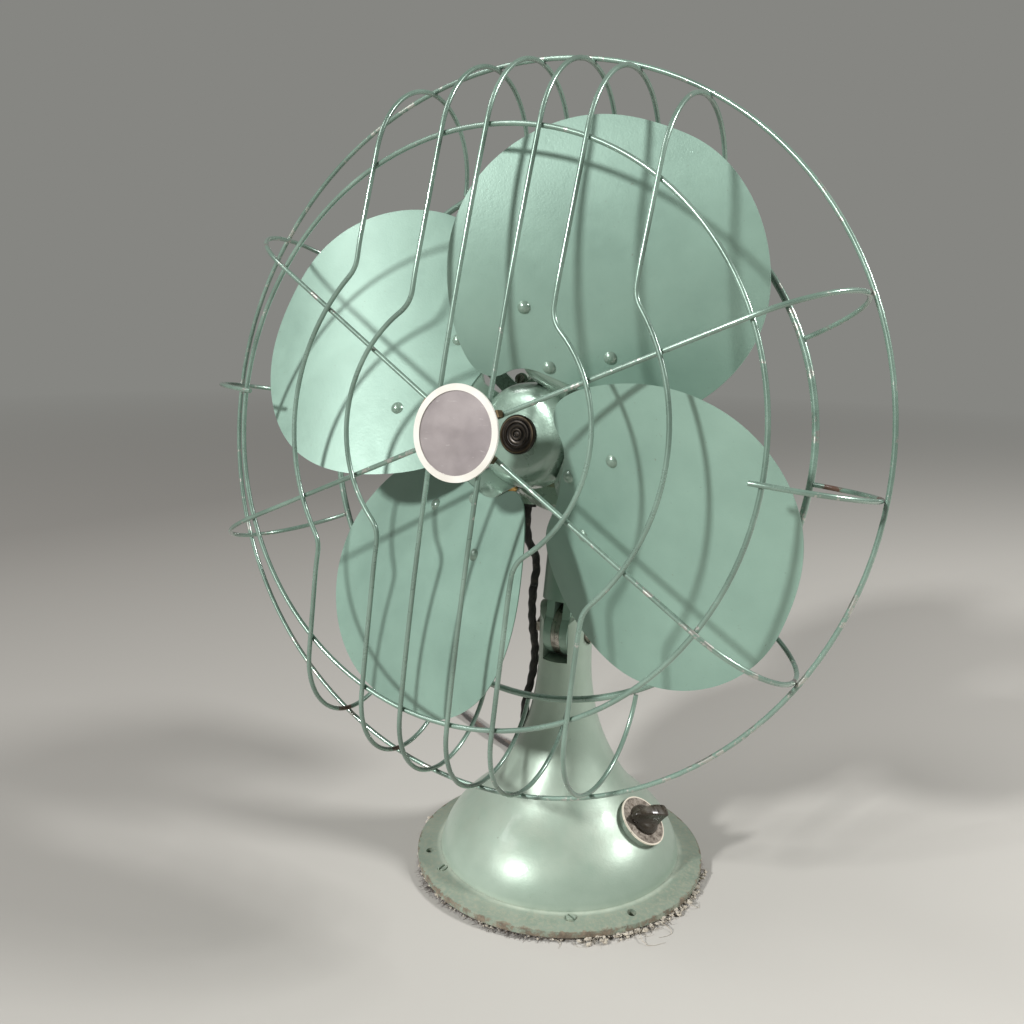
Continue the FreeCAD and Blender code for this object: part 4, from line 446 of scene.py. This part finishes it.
FINISH_OF = {
    "base": ("base_casting", "base_screws"),
    "body": ("motor_body", "motor_cover", "gear_case", "base_cover"),
    "neck": ("neck_casting",),
    "hub": ("blade_spider", "blade_rivets"),
    "blade": ("blade_1", "blade_2", "blade_3", "blade_4"),
    "wire": ("guard_wires_straight", "guard_wires_inner", "guard_wires_outer", "guard_brackets",
             "guard_front_ring"),
    "wire_worn": ("guard_outer_ring", "guard_rear_ring", "guard_spokes", "guard_side_loops"),
    "felt": ("base_felt",),
    "steel": ("hinge_bolt", "hinge_nut", "link_pin", "link_arm", "cover_screws", "guard_screws",
              "swivel_spindle", "motor_shaft", "crank_disc", "knob_screw", "switch_shaft",
              "friction_discs", "thrust_washer"),
    "dial": ("dial_plate",),
    "bakelite": ("switch_knob", "switch_body", "plug_body", "clutch_knob"),
    "brass": ("plug_blades", "hub_screw", "oil_cups", "switch_bush"),
    "bronze": ("bearings", "worm_wheel"),
    "nose": ("nose_cap",),
    "laminations": ("stator", "rotor_core"),
    "copper": ("windings",),
    "rubber": ("cord_bushing", "lead_bushing", "strain_relief"),
    "badge_rim": ("badge_rim",),
    "badge_face": ("badge_face",),
    "badge_back": ("badge_back",),
    "cord": ("power_cord", "cord_coil"),
    "lead": ("motor_lead",),
}
for finish, names in FINISH_OF.items():
    for name in names:
        mesh = NODES[name].data
        mesh.materials.clear()
        mesh.materials.append(PAINTS[finish])


# ------------------------------------------------ mesh kit
def mesh_piece(name, bm, material, smooth=True):
    mesh = bpy.data.meshes.new(name)
    bm.to_mesh(mesh)
    bm.free()
    if smooth:
        mesh.polygons.foreach_set("use_smooth", [True] * len(mesh.polygons))
    mesh.materials.append(material)
    piece = bpy.data.objects.new(name, mesh)
    bpy.context.scene.collection.objects.link(piece)
    return piece


def closed_loft(bm, rings):
    """A closed skin through rings of vertices, with a face across each end."""
    for low, high in zip(rings, rings[1:]):
        for k in range(len(low)):
            nxt = (k + 1) % len(low)
            bm.faces.new((low[k], low[nxt], high[nxt], high[k]))
    bm.faces.new(rings[0][::-1])
    bm.faces.new(rings[-1])


SAME_PLACE = 0.0004


def spline_line(points, name):
    """The line of a NURBS spline of order 3 through these control points."""
    curve = bpy.data.curves.new(name, "CURVE")
    curve.dimensions = "3D"
    spline = curve.splines.new("NURBS")
    spline.points.add(len(points) - 1)
    for place, point in zip(spline.points, points):
        place.co = (*(Vector(point) * MM), 1.0)
    spline.order_u = 3
    spline.use_endpoint_u = True
    spline.resolution_u = 10
    carrier = bpy.data.objects.new(name, curve)
    bpy.context.scene.collection.objects.link(carrier)
    bpy.context.view_layer.update()
    mesh = bpy.data.meshes.new_from_object(carrier)
    line = [v.co.copy() for v in mesh.vertices]
    bpy.data.objects.remove(carrier)
    bpy.data.meshes.remove(mesh)
    clean = line[:1]
    for place in line[1:]:
        if (place - clean[-1]).length > SAME_PLACE:
            clean.append(place)
    return clean


def evened(line, step):
    """The same line at an even spacing."""
    lengths = [0.0]
    for a, b in zip(line, line[1:]):
        lengths.append(lengths[-1] + (b - a).length)
    count = max(2, round(lengths[-1] / step))
    made, k = [], 0
    for i in range(count + 1):
        target = lengths[-1] * i / count
        while k < len(line) - 2 and lengths[k + 1] < target:
            k += 1
        span = lengths[k + 1] - lengths[k] or 1.0
        made.append(line[k].lerp(line[k + 1], (target - lengths[k]) / span))
    return made


TUBE_SIDES = 18


def twisted_tube(name, line, diameter, lobes, depth, pitch, material, lump=None):
    """A cord of twisted strands: its section has one lobe a strand and turns as it goes."""
    bm = bmesh.new()
    uv = bm.loops.layers.uv.new("strip")
    rings, travelled, side = [], 0.0, UP
    for i, place in enumerate(line):
        ahead = line[min(i + 1, len(line) - 1)] - line[max(i - 1, 0)]
        ahead.normalize()
        side = (side - ahead * side.dot(ahead)).normalized()
        other = ahead.cross(side)
        if i:
            travelled += (place - line[i - 1]).length
        turn = FULL_TURN * travelled / pitch
        swell = 1.0 if lump is None else lump(travelled)
        ring = []
        for k in range(TUBE_SIDES):
            angle = FULL_TURN * k / TUBE_SIDES
            lobe = 1 - depth + depth * math.cos(lobes * (angle - turn))
            reach = diameter / 2 * swell * lobe
            ring.append(bm.verts.new(place + side * (reach * math.cos(angle))
                                     + other * (reach * math.sin(angle))))
        rings.append((ring, travelled, turn))
    for (low, low_at, low_turn), (high, high_at, high_turn) in zip(rings, rings[1:]):
        for k in range(TUBE_SIDES):
            nxt = (k + 1) % TUBE_SIDES
            face = bm.faces.new((low[k], low[nxt], high[nxt], high[k]))
            corners = ((k, low_at, low_turn), (k + 1, low_at, low_turn),
                       (k + 1, high_at, high_turn), (k, high_at, high_turn))
            for loop, (step, along, turn) in zip(face.loops, corners):
                loop[uv].uv = (step / TUBE_SIDES - turn / FULL_TURN, along)
    bm.faces.new(rings[0][0][::-1])
    bm.faces.new(rings[-1][0])
    return mesh_piece(name, bm, material)


# ------------------------------------------------ power cord, in millimetres
CORD_D = 7.0
CORD_GROOVE = 0.14
CORD_PITCH = 120.0
CORD_STEP = 2.8
COIL_CENTRE = (-272.0, 226.0)
COIL_R = 45.0
COIL_START = -90.0
TAIL_ANGLE = 150.0
TAIL_L = 30.0
PLUG_H = 18.0
CORD_START = (-68.908, 91.444, 18.0)
CORD_ROUTE = [(-80.94, 107.42, 18.0), (-95.0, 122.0, 10.0), (-114.0, 133.0, 4.4),
              (-136.0, 142.0, 3.5), (-160.0, 153.5, 3.5), (-186.0, 168.0, 3.5),
              (-214.0, 184.0, 3.5), (-243.0, 186.0, 3.5)]
OUTER_TURN, INNER_TURN = COIL_R - CORD_D / 2, COIL_R - 1.5 * CORD_D
LEVELS = [CORD_D * (0.5 + k) for k in range(3)]
TURN_PLACES = [(OUTER_TURN, LEVELS[0]), (INNER_TURN, LEVELS[0]), (INNER_TURN, LEVELS[1]),
               (INNER_TURN, LEVELS[2]), (OUTER_TURN, LEVELS[2]), (OUTER_TURN, LEVELS[1])]
POINTS_A_TURN = 18
STEP = 360.0 / POINTS_A_TURN
SIDEWAYS_POINTS, UPWARD_POINTS = 5, 3


def coil_points():
    """Six close turns, two beside each other in three layers, wound clockwise seen from above.

    Each turn passes to the next over a few points, and earlier in the round than the one
    before it, so that the turns don't meet where they change places.
    """
    changes = []
    for turn, (old, new) in enumerate(zip(TURN_PLACES, TURN_PLACES[1:])):
        span = SIDEWAYS_POINTS if old[0] != new[0] else UPWARD_POINTS
        end = (turn + 1) * POINTS_A_TURN - sum(length for _, length in changes)
        changes.append((end - span, span))
    # the spline runs inside its control points, which stand this much further out
    swell = 1 / (0.75 + 0.25 * math.cos(math.radians(STEP)))
    last = len(TURN_PLACES) * POINTS_A_TURN - round((TAIL_ANGLE - COIL_START) / STEP)
    made = []
    for index in range(last):
        radius, height = TURN_PLACES[0]
        for (begin, span), old, new in zip(changes, TURN_PLACES, TURN_PLACES[1:]):
            share = min(1.0, max(0.0, (index - begin) / span))
            share = share * share * (3 - 2 * share)
            radius += (new[0] - old[0]) * share
            height += (new[1] - old[1]) * share
        a = math.radians(COIL_START - index * STEP)
        made.append((COIL_CENTRE[0] + radius * swell * math.cos(a),
                     COIL_CENTRE[1] + radius * swell * math.sin(a), height))
    return made


def cord_points():
    a = math.radians(TAIL_ANGLE)
    leave = Vector((COIL_CENTRE[0] + OUTER_TURN * math.cos(a),
                    COIL_CENTRE[1] + OUTER_TURN * math.sin(a), PLUG_H / 2))
    way = Vector((math.sin(a), -math.cos(a), 0.0))
    tail = [leave, leave + way * (TAIL_L * 0.5), leave + way * TAIL_L]
    return [CORD_START, *CORD_ROUTE, *coil_points(), *tail]


cord_line = evened(spline_line(cord_points(), "cord_route"), CORD_STEP * MM)
cord = twisted_tube("cord_twisted", cord_line, CORD_D * MM, CORD_STRANDS, CORD_GROOVE,
                    CORD_PITCH * MM, PAINTS["cord"])
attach(cord, "base")
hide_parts("power_cord", "cord_coil")

# ------------------------------------------------ motor lead, in millimetres, in two pieces
LEAD_D = 6.4
LEAD_GROOVE = 0.1
LEAD_PITCH = 30.0
LEAD_STEP = 2.2
LEAD_ROUTE = [(-30.0, -7.71, 272.41), (-30.0, -11.25, 250.69), (-24.2, 0.2, 232.0),
              (-26.2, -4.4, 209.0), (-25.8, -5.0, 185.0), (-24.8, 1.0, 162.0),
              (-26.6, -1.0, 139.0), (-30.4, -6.6, 116.0), (-26.0, -12.0, 93.0)]
LEAD_SPLIT_Z = 212.0
UPPER_BLEND = leaned((0, 0, 268)) * MM, leaned((0, 0, 222)) * MM
LOWER_BLEND = UP * 205 * MM, UP * 150 * MM
LUMP_HEIGHT, LUMP_RATE, LUMP_DRIFT = 0.07, 310.0, 97.0


def lead_lump(travelled):
    """The lead's uneven thickness, as a share of its own."""
    return 1.0 + LUMP_HEIGHT * math.sin(travelled * LUMP_RATE) * math.sin(
        travelled * LUMP_DRIFT + 1.0)


lead_line = evened(spline_line(LEAD_ROUTE, "lead_route"), LEAD_STEP * MM)
split = min(range(len(lead_line)), key=lambda i: abs(lead_line[i].z - LEAD_SPLIT_Z * MM))
for name, line, bodies, (start, end) in (
        ("lead_upper", lead_line[:split + 1], ("head", "neck"), UPPER_BLEND),
        ("lead_lower", lead_line[split:], ("neck", "base"), LOWER_BLEND)):
    lead = twisted_tube(name, line, LEAD_D * MM, LEAD_STRANDS, LEAD_GROOVE, LEAD_PITCH * MM,
                        PAINTS["lead"], lump=lead_lump)
    if name == "lead_upper":
        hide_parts("motor_lead")
    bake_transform(lead)

# ------------------------------------------------ switch knob, moulded as one flowing shape
KNOB_SEAT = 1.6
KNOB_AXIS = DIAL_NORMAL
KNOB_LEVEL = Vector((math.cos(DIAL_AZIMUTH), math.sin(DIAL_AZIMUTH), 0))
KNOB_POINTS_AT = math.radians(150.0)
KNOB_POINTER = (KNOB_LEVEL * math.cos(KNOB_POINTS_AT)
                + KNOB_AXIS.cross(KNOB_LEVEL) * math.sin(KNOB_POINTS_AT))
KNOB_ACROSS = KNOB_AXIS.cross(KNOB_POINTER)
# each: place along the pointer, half width at the foot, half width at the top, top's height
KNOB_SECTIONS = [(-11.6, 2.6, 2.0, 12.6), (-10.8, 4.2, 3.4, 14.4), (-8.5, 6.0, 4.2, 15.3),
                 (-4.0, 8.0, 4.3, 15.5), (1.0, 8.6, 4.1, 15.2), (5.0, 7.4, 3.6, 14.3),
                 (9.0, 5.2, 2.8, 12.6), (12.4, 3.2, 1.9, 10.4), (14.6, 1.8, 1.0, 7.6),
                 (15.5, 0.9, 0.5, 5.0)]
KNOB_SIDE_STEPS = 8
KNOB_FLARE = 2.6
KNOB_BAR_FOOT = 2.8
KNOB_CROWN = 0.7
KNOB_CROWN_ANGLES = (0.5, 1.05, math.pi / 2, 2.09, 2.64)
# the skirt's section, with the recess under it: distance from the axis, height
KNOB_SKIRT = [(7.4, 0.0), (11.2, 0.0), (11.5, 0.5), (11.3, 1.6), (10.6, 3.2), (9.0, 4.8),
              (6.5, 6.0), (0.05, 6.4), (0.05, 2.4), (7.4, 2.4)]
KNOB_SKIRT_SIDES = 64
KNOB_VOXEL = 0.35
KNOB_SHARP = math.radians(50.0)
KNOB_HOLE_FROM, KNOB_HOLE_WAY = (-5.2, -3.2, 15.6), (0.45, 0.5, -0.74)
KNOB_HOLE_R = 1.35
KNOB_HOLE_ENDS = (-3.0, 4.5)
KNOB_HOLE_SIDES = 24


def on_knob(along, across, height):
    return (DIAL_CENTRE + KNOB_AXIS * (KNOB_SEAT + height) + KNOB_POINTER * along
            + KNOB_ACROSS * across) * MM


def knob_bar(bm):
    """The bar that the fingers hold: a lofted fin whose sides flare out at the foot."""
    rings = []
    for along, foot, top, height in KNOB_SECTIONS:
        sides = []
        for i in range(KNOB_SIDE_STEPS + 1):
            share = i / KNOB_SIDE_STEPS
            sides.append((top + (foot - top) * (1 - share) ** KNOB_FLARE,
                          KNOB_BAR_FOOT + (height - KNOB_BAR_FOOT) * share))
        crown = [(top * math.cos(a), height + KNOB_CROWN * math.sin(a))
                 for a in KNOB_CROWN_ANGLES]
        outline = sides + crown + [(-q, h) for q, h in reversed(sides)]
        rings.append([bm.verts.new(on_knob(along, q, h)) for q, h in outline])
    closed_loft(bm, rings)


def knob_skirt(bm):
    rings = []
    for i in range(KNOB_SKIRT_SIDES):
        a = FULL_TURN * i / KNOB_SKIRT_SIDES
        rings.append([bm.verts.new(on_knob(r * math.cos(a), r * math.sin(a), h))
                      for r, h in KNOB_SKIRT])
    for low, high in zip(rings, rings[1:] + rings[:1]):
        for k in range(len(low)):
            nxt = (k + 1) % len(low)
            bm.faces.new((low[k], high[k], high[nxt], low[nxt]))


def knob_drill(bm):
    """A slanted rod that stands where the knob's screw hole is."""
    start, way = Vector(KNOB_HOLE_FROM), Vector(KNOB_HOLE_WAY).normalized()
    side = way.cross(UP).normalized()
    other = way.cross(side)
    angles = [FULL_TURN * i / KNOB_HOLE_SIDES for i in range(KNOB_HOLE_SIDES)]
    rims = [(side * math.cos(a) + other * math.sin(a)) * KNOB_HOLE_R for a in angles]
    closed_loft(bm, [[bm.verts.new(on_knob(*(start + way * reach + rim))) for rim in rims]
                     for reach in KNOB_HOLE_ENDS])


def moulding(name, *makers):
    bm = bmesh.new()
    for maker in makers:
        maker(bm)
    bmesh.ops.recalc_face_normals(bm, faces=bm.faces)
    return mesh_piece(name, bm, PAINTS["bakelite"])


def applied(piece, name, kind, **settings):
    """The piece gets the shape that a modifier gives it, and keeps no modifier."""
    modifier = piece.modifiers.new(name, kind)
    for key, value in settings.items():
        setattr(modifier, key, value)
    bpy.context.view_layer.update()
    shown = piece.evaluated_get(bpy.context.evaluated_depsgraph_get())
    shaped = bpy.data.meshes.new_from_object(shown)
    piece.modifiers.remove(modifier)
    old, piece.data = piece.data, shaped
    bpy.data.meshes.remove(old)


knob = moulding("knob_moulding", knob_bar, knob_skirt)
applied(knob, "fused", "REMESH", mode="VOXEL", voxel_size=KNOB_VOXEL * MM)
applied(knob, "eased", "SMOOTH", factor=0.5, iterations=5)
drill = moulding("drill", knob_drill)
applied(knob, "screw_hole", "BOOLEAN", operation="DIFFERENCE", object=drill, solver="EXACT")
bpy.data.objects.remove(drill)
knob.data.polygons.foreach_set("use_smooth", [True] * len(knob.data.polygons))
knob.data.set_sharp_from_angle(angle=KNOB_SHARP)
knob.data.materials.clear()
knob.data.materials.append(PAINTS["bakelite"])
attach(knob, "knob")
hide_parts("switch_knob")

# ------------------------------------------------ frayed felt and lint, in millimetres
FIBRE_STEPS = 5
FIBRE_SIDES = (0.0, 2.1, 4.2)
FIBRE_CURL, FIBRE_SAG, FIBRE_TAPER = 0.3, 0.5, 0.75
TUFT_WIDTHS, TUFT_HEIGHTS, TUFT_CRUMPLE = (0.7, 1.6), (0.35, 0.7), (-0.35, 0.35)
# of the felt's tries, this share is kept even where the edge is whole
FRAY_TRIES, FRAY_KEPT = 2600, 0.3
FRAY_ROOT_R = FELT_R - 0.4
FRAY_ROOT_Z = (0.6, FELT_T - 0.3)
FRAY_SIDEWAYS, FRAY_RISE = (-1.2, 1.2), (-0.1, 0.5)
FRAY_LENGTHS, FRAY_WIDTHS = (2.5, 7.0), (0.1, 0.24)
CLUMP_DEGREES = (-95, -88, -80, 38, 44, 50, 57, 63, 70, 76, 83, 92, 104)
CLUMP_TUFTS, CLUMP_TUFT_SPREAD = 9, 0.035
CLUMP_TUFT_R, CLUMP_TUFT_Z, CLUMP_TUFT_SIZES = (106.5, 111.5), (1.2, 4.4), (0.5, 1.7)
CLUMP_FIBRES, CLUMP_FIBRE_SPREAD = 14, 0.05
CLUMP_OUTWARD, CLUMP_SIDEWAYS, CLUMP_RISE = (0.1, 1.0), (-1.5, 1.5), (-0.1, 0.4)
CLUMP_FIBRE_R, CLUMP_FIBRE_Z = (105, 108), (1.0, 3.0)
CLUMP_LENGTHS, CLUMP_WIDTHS, CLUMP_CURLS = (5.0, 11.0), (0.12, 0.26), (-1.5, 1.5)
LOOSE_TUFTS = 420
LOOSE_OUT, LOOSE_Z, LOOSE_SIZES = (-1.2, 0.9), (1.2, 3.6), (0.35, 1.0)
# loose threads, each: degrees round the base, distance, height, sideways lean, length, curl
THREADS = [(58.0, 106.0, 3.6, 0.26, 21.0, 1.9), (66.0, 107.4, 2.6, -0.5, 15.0, -2.3),
           (83.0, 107.0, 3.0, 0.9, 12.0, 2.2), (-84.0, 107.2, 2.2, -0.8, 10.0, 2.0),
           (24.0, 107.6, 2.0, 0.4, 9.0, -1.7)]
THREAD_OUTWARD, THREAD_WIDTH = 0.5, 0.46
ONE_METRE = 1000

random.seed(7)
pick = random.uniform


def round_base(angle, reach, height):
    """A point round the base, in metres, at an angle from the front."""
    return Vector((math.sin(angle) * reach, -math.cos(angle) * reach, height)) * MM


def away(angle, outward, sideways, rise):
    """The direction of a fibre that leaves the base's edge at an angle from the front."""
    out = round_base(angle, ONE_METRE, 0)
    tangent = round_base(angle + math.pi / 2, ONE_METRE, 0)
    return (out * outward + tangent * sideways + UP * rise).normalized()


def fibre(bm, root, way, length, thickness, curl):
    """A thin three-sided hair that tapers and curls down to the table."""
    rings = []
    side = way.cross(UP).normalized()
    for i in range(FIBRE_STEPS + 1):
        share = i / FIBRE_STEPS
        centre = (root + way * (length * share)
                  + side * (length * FIBRE_CURL * math.sin(share * 3.0) * curl))
        centre.z = max(thickness, centre.z - length * FIBRE_SAG * share * share)
        radius = thickness * (1 - FIBRE_TAPER * share)
        rings.append([bm.verts.new(centre + (side * math.cos(a) + UP * math.sin(a)) * radius)
                      for a in FIBRE_SIDES])
    closed_loft(bm, rings)


def raggedness(angle):
    """How torn the felt's edge is, from 0 to 1, at an angle round the base from the front."""
    return 0.5 + 0.5 * math.sin(angle * 5 + 1.3) * math.sin(angle * 3 + 0.4)


def tuft(bm, middle, size):
    """A crumpled scrap of lint."""
    made = bmesh.ops.create_icosphere(bm, subdivisions=2, radius=size)["verts"]
    stretch = Vector((pick(*TUFT_WIDTHS), pick(*TUFT_WIDTHS), pick(*TUFT_HEIGHTS)))
    for vert in made:
        reach = 1 + pick(*TUFT_CRUMPLE)
        vert.co = middle + Vector(vert.co * stretch) * reach


bm = bmesh.new()
for _ in range(FRAY_TRIES):
    angle = pick(0, FULL_TURN)
    torn = raggedness(angle)
    if random.random() > FRAY_KEPT + (1 - FRAY_KEPT) * torn:
        continue
    root = round_base(angle, FRAY_ROOT_R, pick(*FRAY_ROOT_Z))
    way = away(angle, 1, pick(*FRAY_SIDEWAYS), pick(*FRAY_RISE))
    fibre(bm, root, way, pick(*FRAY_LENGTHS) * MM * (0.5 + torn), pick(*FRAY_WIDTHS) * MM,
          pick(-1, 1))
fray = mesh_piece("felt_fray", bm, PAINTS["felt"])
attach(fray, "base")

bm = bmesh.new()
for degrees in CLUMP_DEGREES:
    middle = math.radians(degrees)
    for _ in range(CLUMP_TUFTS):
        angle = middle + random.gauss(0, CLUMP_TUFT_SPREAD)
        tuft(bm, round_base(angle, pick(*CLUMP_TUFT_R), pick(*CLUMP_TUFT_Z)),
             pick(*CLUMP_TUFT_SIZES) * MM)
    for _ in range(CLUMP_FIBRES):
        angle = middle + random.gauss(0, CLUMP_FIBRE_SPREAD)
        way = away(angle, pick(*CLUMP_OUTWARD), pick(*CLUMP_SIDEWAYS), pick(*CLUMP_RISE))
        fibre(bm, round_base(angle, pick(*CLUMP_FIBRE_R), pick(*CLUMP_FIBRE_Z)), way,
              pick(*CLUMP_LENGTHS) * MM, pick(*CLUMP_WIDTHS) * MM, pick(*CLUMP_CURLS))
for _ in range(LOOSE_TUFTS):
    angle = pick(0, FULL_TURN)
    if random.random() < raggedness(angle):
        tuft(bm, round_base(angle, FLANGE_R + pick(*LOOSE_OUT), pick(*LOOSE_Z)),
             pick(*LOOSE_SIZES) * MM)
for degrees, reach, height, lean, length, curl in THREADS:
    angle = math.radians(degrees)
    fibre(bm, round_base(angle, reach, height), away(angle, THREAD_OUTWARD, lean, 0),
          length * MM, THREAD_WIDTH * MM, curl)
lint = mesh_piece("lint_tufts", bm, PAINTS["lint"])
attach(lint, "base")

# ------------------------------------------------ stage, in metres
BACKDROP = "868682"
FLOOR_HALF = 6.0
FLOOR_PAINTED_LIGHT_SHADES = ("8a8782", "cac7c0")
# painted light: the floor passes from the darker first shade to the lighter second along x, less
# this much of y
FLOOR_SLANT = 0.25
FLOOR_SPAN = (-1.3, 0.75)
FLOOR_FADE = (1.0, 3.2)


def floor_material():
    """Pale table top, painted darker to the left and lighter to the right as painted light, that
    fades into the backdrop well away from the object.
    """
    p = Paint("floor_finish")
    side = p.math("SUBTRACT", p.axis(0), p.product(p.axis(1), FLOOR_SLANT))
    # painted light: darker towards the left, lighter towards the right
    p.feed(p.tones(side, *FLOOR_PAINTED_LIGHT_SHADES, *FLOOR_SPAN), 0.8)
    far = p.node("ShaderNodeEmission", {0: rgb(BACKDROP)}).outputs[0]
    seen = p.node("ShaderNodeLightPath").outputs["Is Camera Ray"]
    share = p.product(seen, p.ramp(p.from_axis(), *FLOOR_FADE))
    faded = p.node("ShaderNodeMixShader", {0: share, 1: p.shader.outputs[0], 2: far}).outputs[0]
    p.tree.links.new(faded, p.tree.nodes["Material Output"].inputs["Surface"])
    return p.material


bm = bmesh.new()
bm.faces.new([bm.verts.new((x * FLOOR_HALF, y * FLOOR_HALF, 0))
              for x, y in ((-1, -1), (1, -1), (1, 1), (-1, 1))])
floor = mesh_piece("floor", bm, floor_material(), smooth=False)

# ------------------------------------------------ light: place, target, size in metres, watts
LAMPS = [("key_light", (-1.36, -4.2, 2.6), (0, 0, 0.25), 0.42, 250.0),
         ("soft_light", (-2.5, -2.1, 4.1), (0, 0, 0.25), 1.6, 60.0),
         ("side_light", (1.9, 0.62, 1.7), (0, 0, 0.2), 0.42, 52.0)]
AMBIENT, AMBIENT_STRENGTH = "c6c4c1", 0.18

for name, place, target, size, power in LAMPS:
    lamp = bpy.data.lights.new(name, "AREA")
    lamp.shape = "DISK"
    lamp.size = size
    lamp.energy = power
    holder = bpy.data.objects.new(name, lamp)
    holder.location = place
    aim = Vector(target) - Vector(place)
    holder.rotation_euler = aim.to_track_quat("-Z", "Y").to_euler()
    bpy.context.scene.collection.objects.link(holder)

# the world lights the object softly, and shows the backdrop to the camera and to gloss
world = bpy.data.worlds.new("studio")
bpy.context.scene.world = world
world.use_nodes = True
tree = world.node_tree
ambient = tree.nodes["Background"]
ambient.inputs["Color"].default_value = rgb(AMBIENT)
ambient.inputs["Strength"].default_value = AMBIENT_STRENGTH
backdrop = tree.nodes.new("ShaderNodeBackground")
backdrop.inputs["Color"].default_value = rgb(BACKDROP)
ray = tree.nodes.new("ShaderNodeLightPath")
either = tree.nodes.new("ShaderNodeMath")
either.operation = "MAXIMUM"
choice = tree.nodes.new("ShaderNodeMixShader")
for outlet, inlet in ((ray.outputs["Is Camera Ray"], either.inputs[0]),
                      (ray.outputs["Is Glossy Ray"], either.inputs[1]),
                      (either.outputs[0], choice.inputs[0]),
                      (ambient.outputs[0], choice.inputs[1]),
                      (backdrop.outputs[0], choice.inputs[2]),
                      (choice.outputs[0], tree.nodes["World Output"].inputs["Surface"])):
    tree.links.new(outlet, inlet)

# ------------------------------------------------ camera
CAMERA_PLACE = (0.3118, -0.6410, 0.4374)
YAW, PITCH, ROLL = (math.radians(a) for a in (-29.249, -13.264, 1.144))
SENSOR_WIDTH = 36.0
LENS = 36.19
CLIP_START = 0.01

forward = Vector((math.sin(YAW) * math.cos(PITCH), math.cos(YAW) * math.cos(PITCH),
                  math.sin(PITCH)))
level = Vector((math.cos(YAW), -math.sin(YAW), 0))
upward = level.cross(forward)
right = level * math.cos(ROLL) + upward * math.sin(ROLL)
top = upward * math.cos(ROLL) - level * math.sin(ROLL)
camera_data = bpy.data.cameras.new("camera")
camera_data.sensor_width = SENSOR_WIDTH
camera_data.lens = LENS
camera_data.clip_start = CLIP_START
camera = bpy.data.objects.new("camera", camera_data)
turn = Matrix((right, top, -forward)).transposed().to_4x4()
camera.matrix_world = Matrix.Translation(CAMERA_PLACE) @ turn
bpy.context.scene.collection.objects.link(camera)
bpy.context.scene.camera = camera
bpy.context.scene.view_settings.view_transform = "Standard"
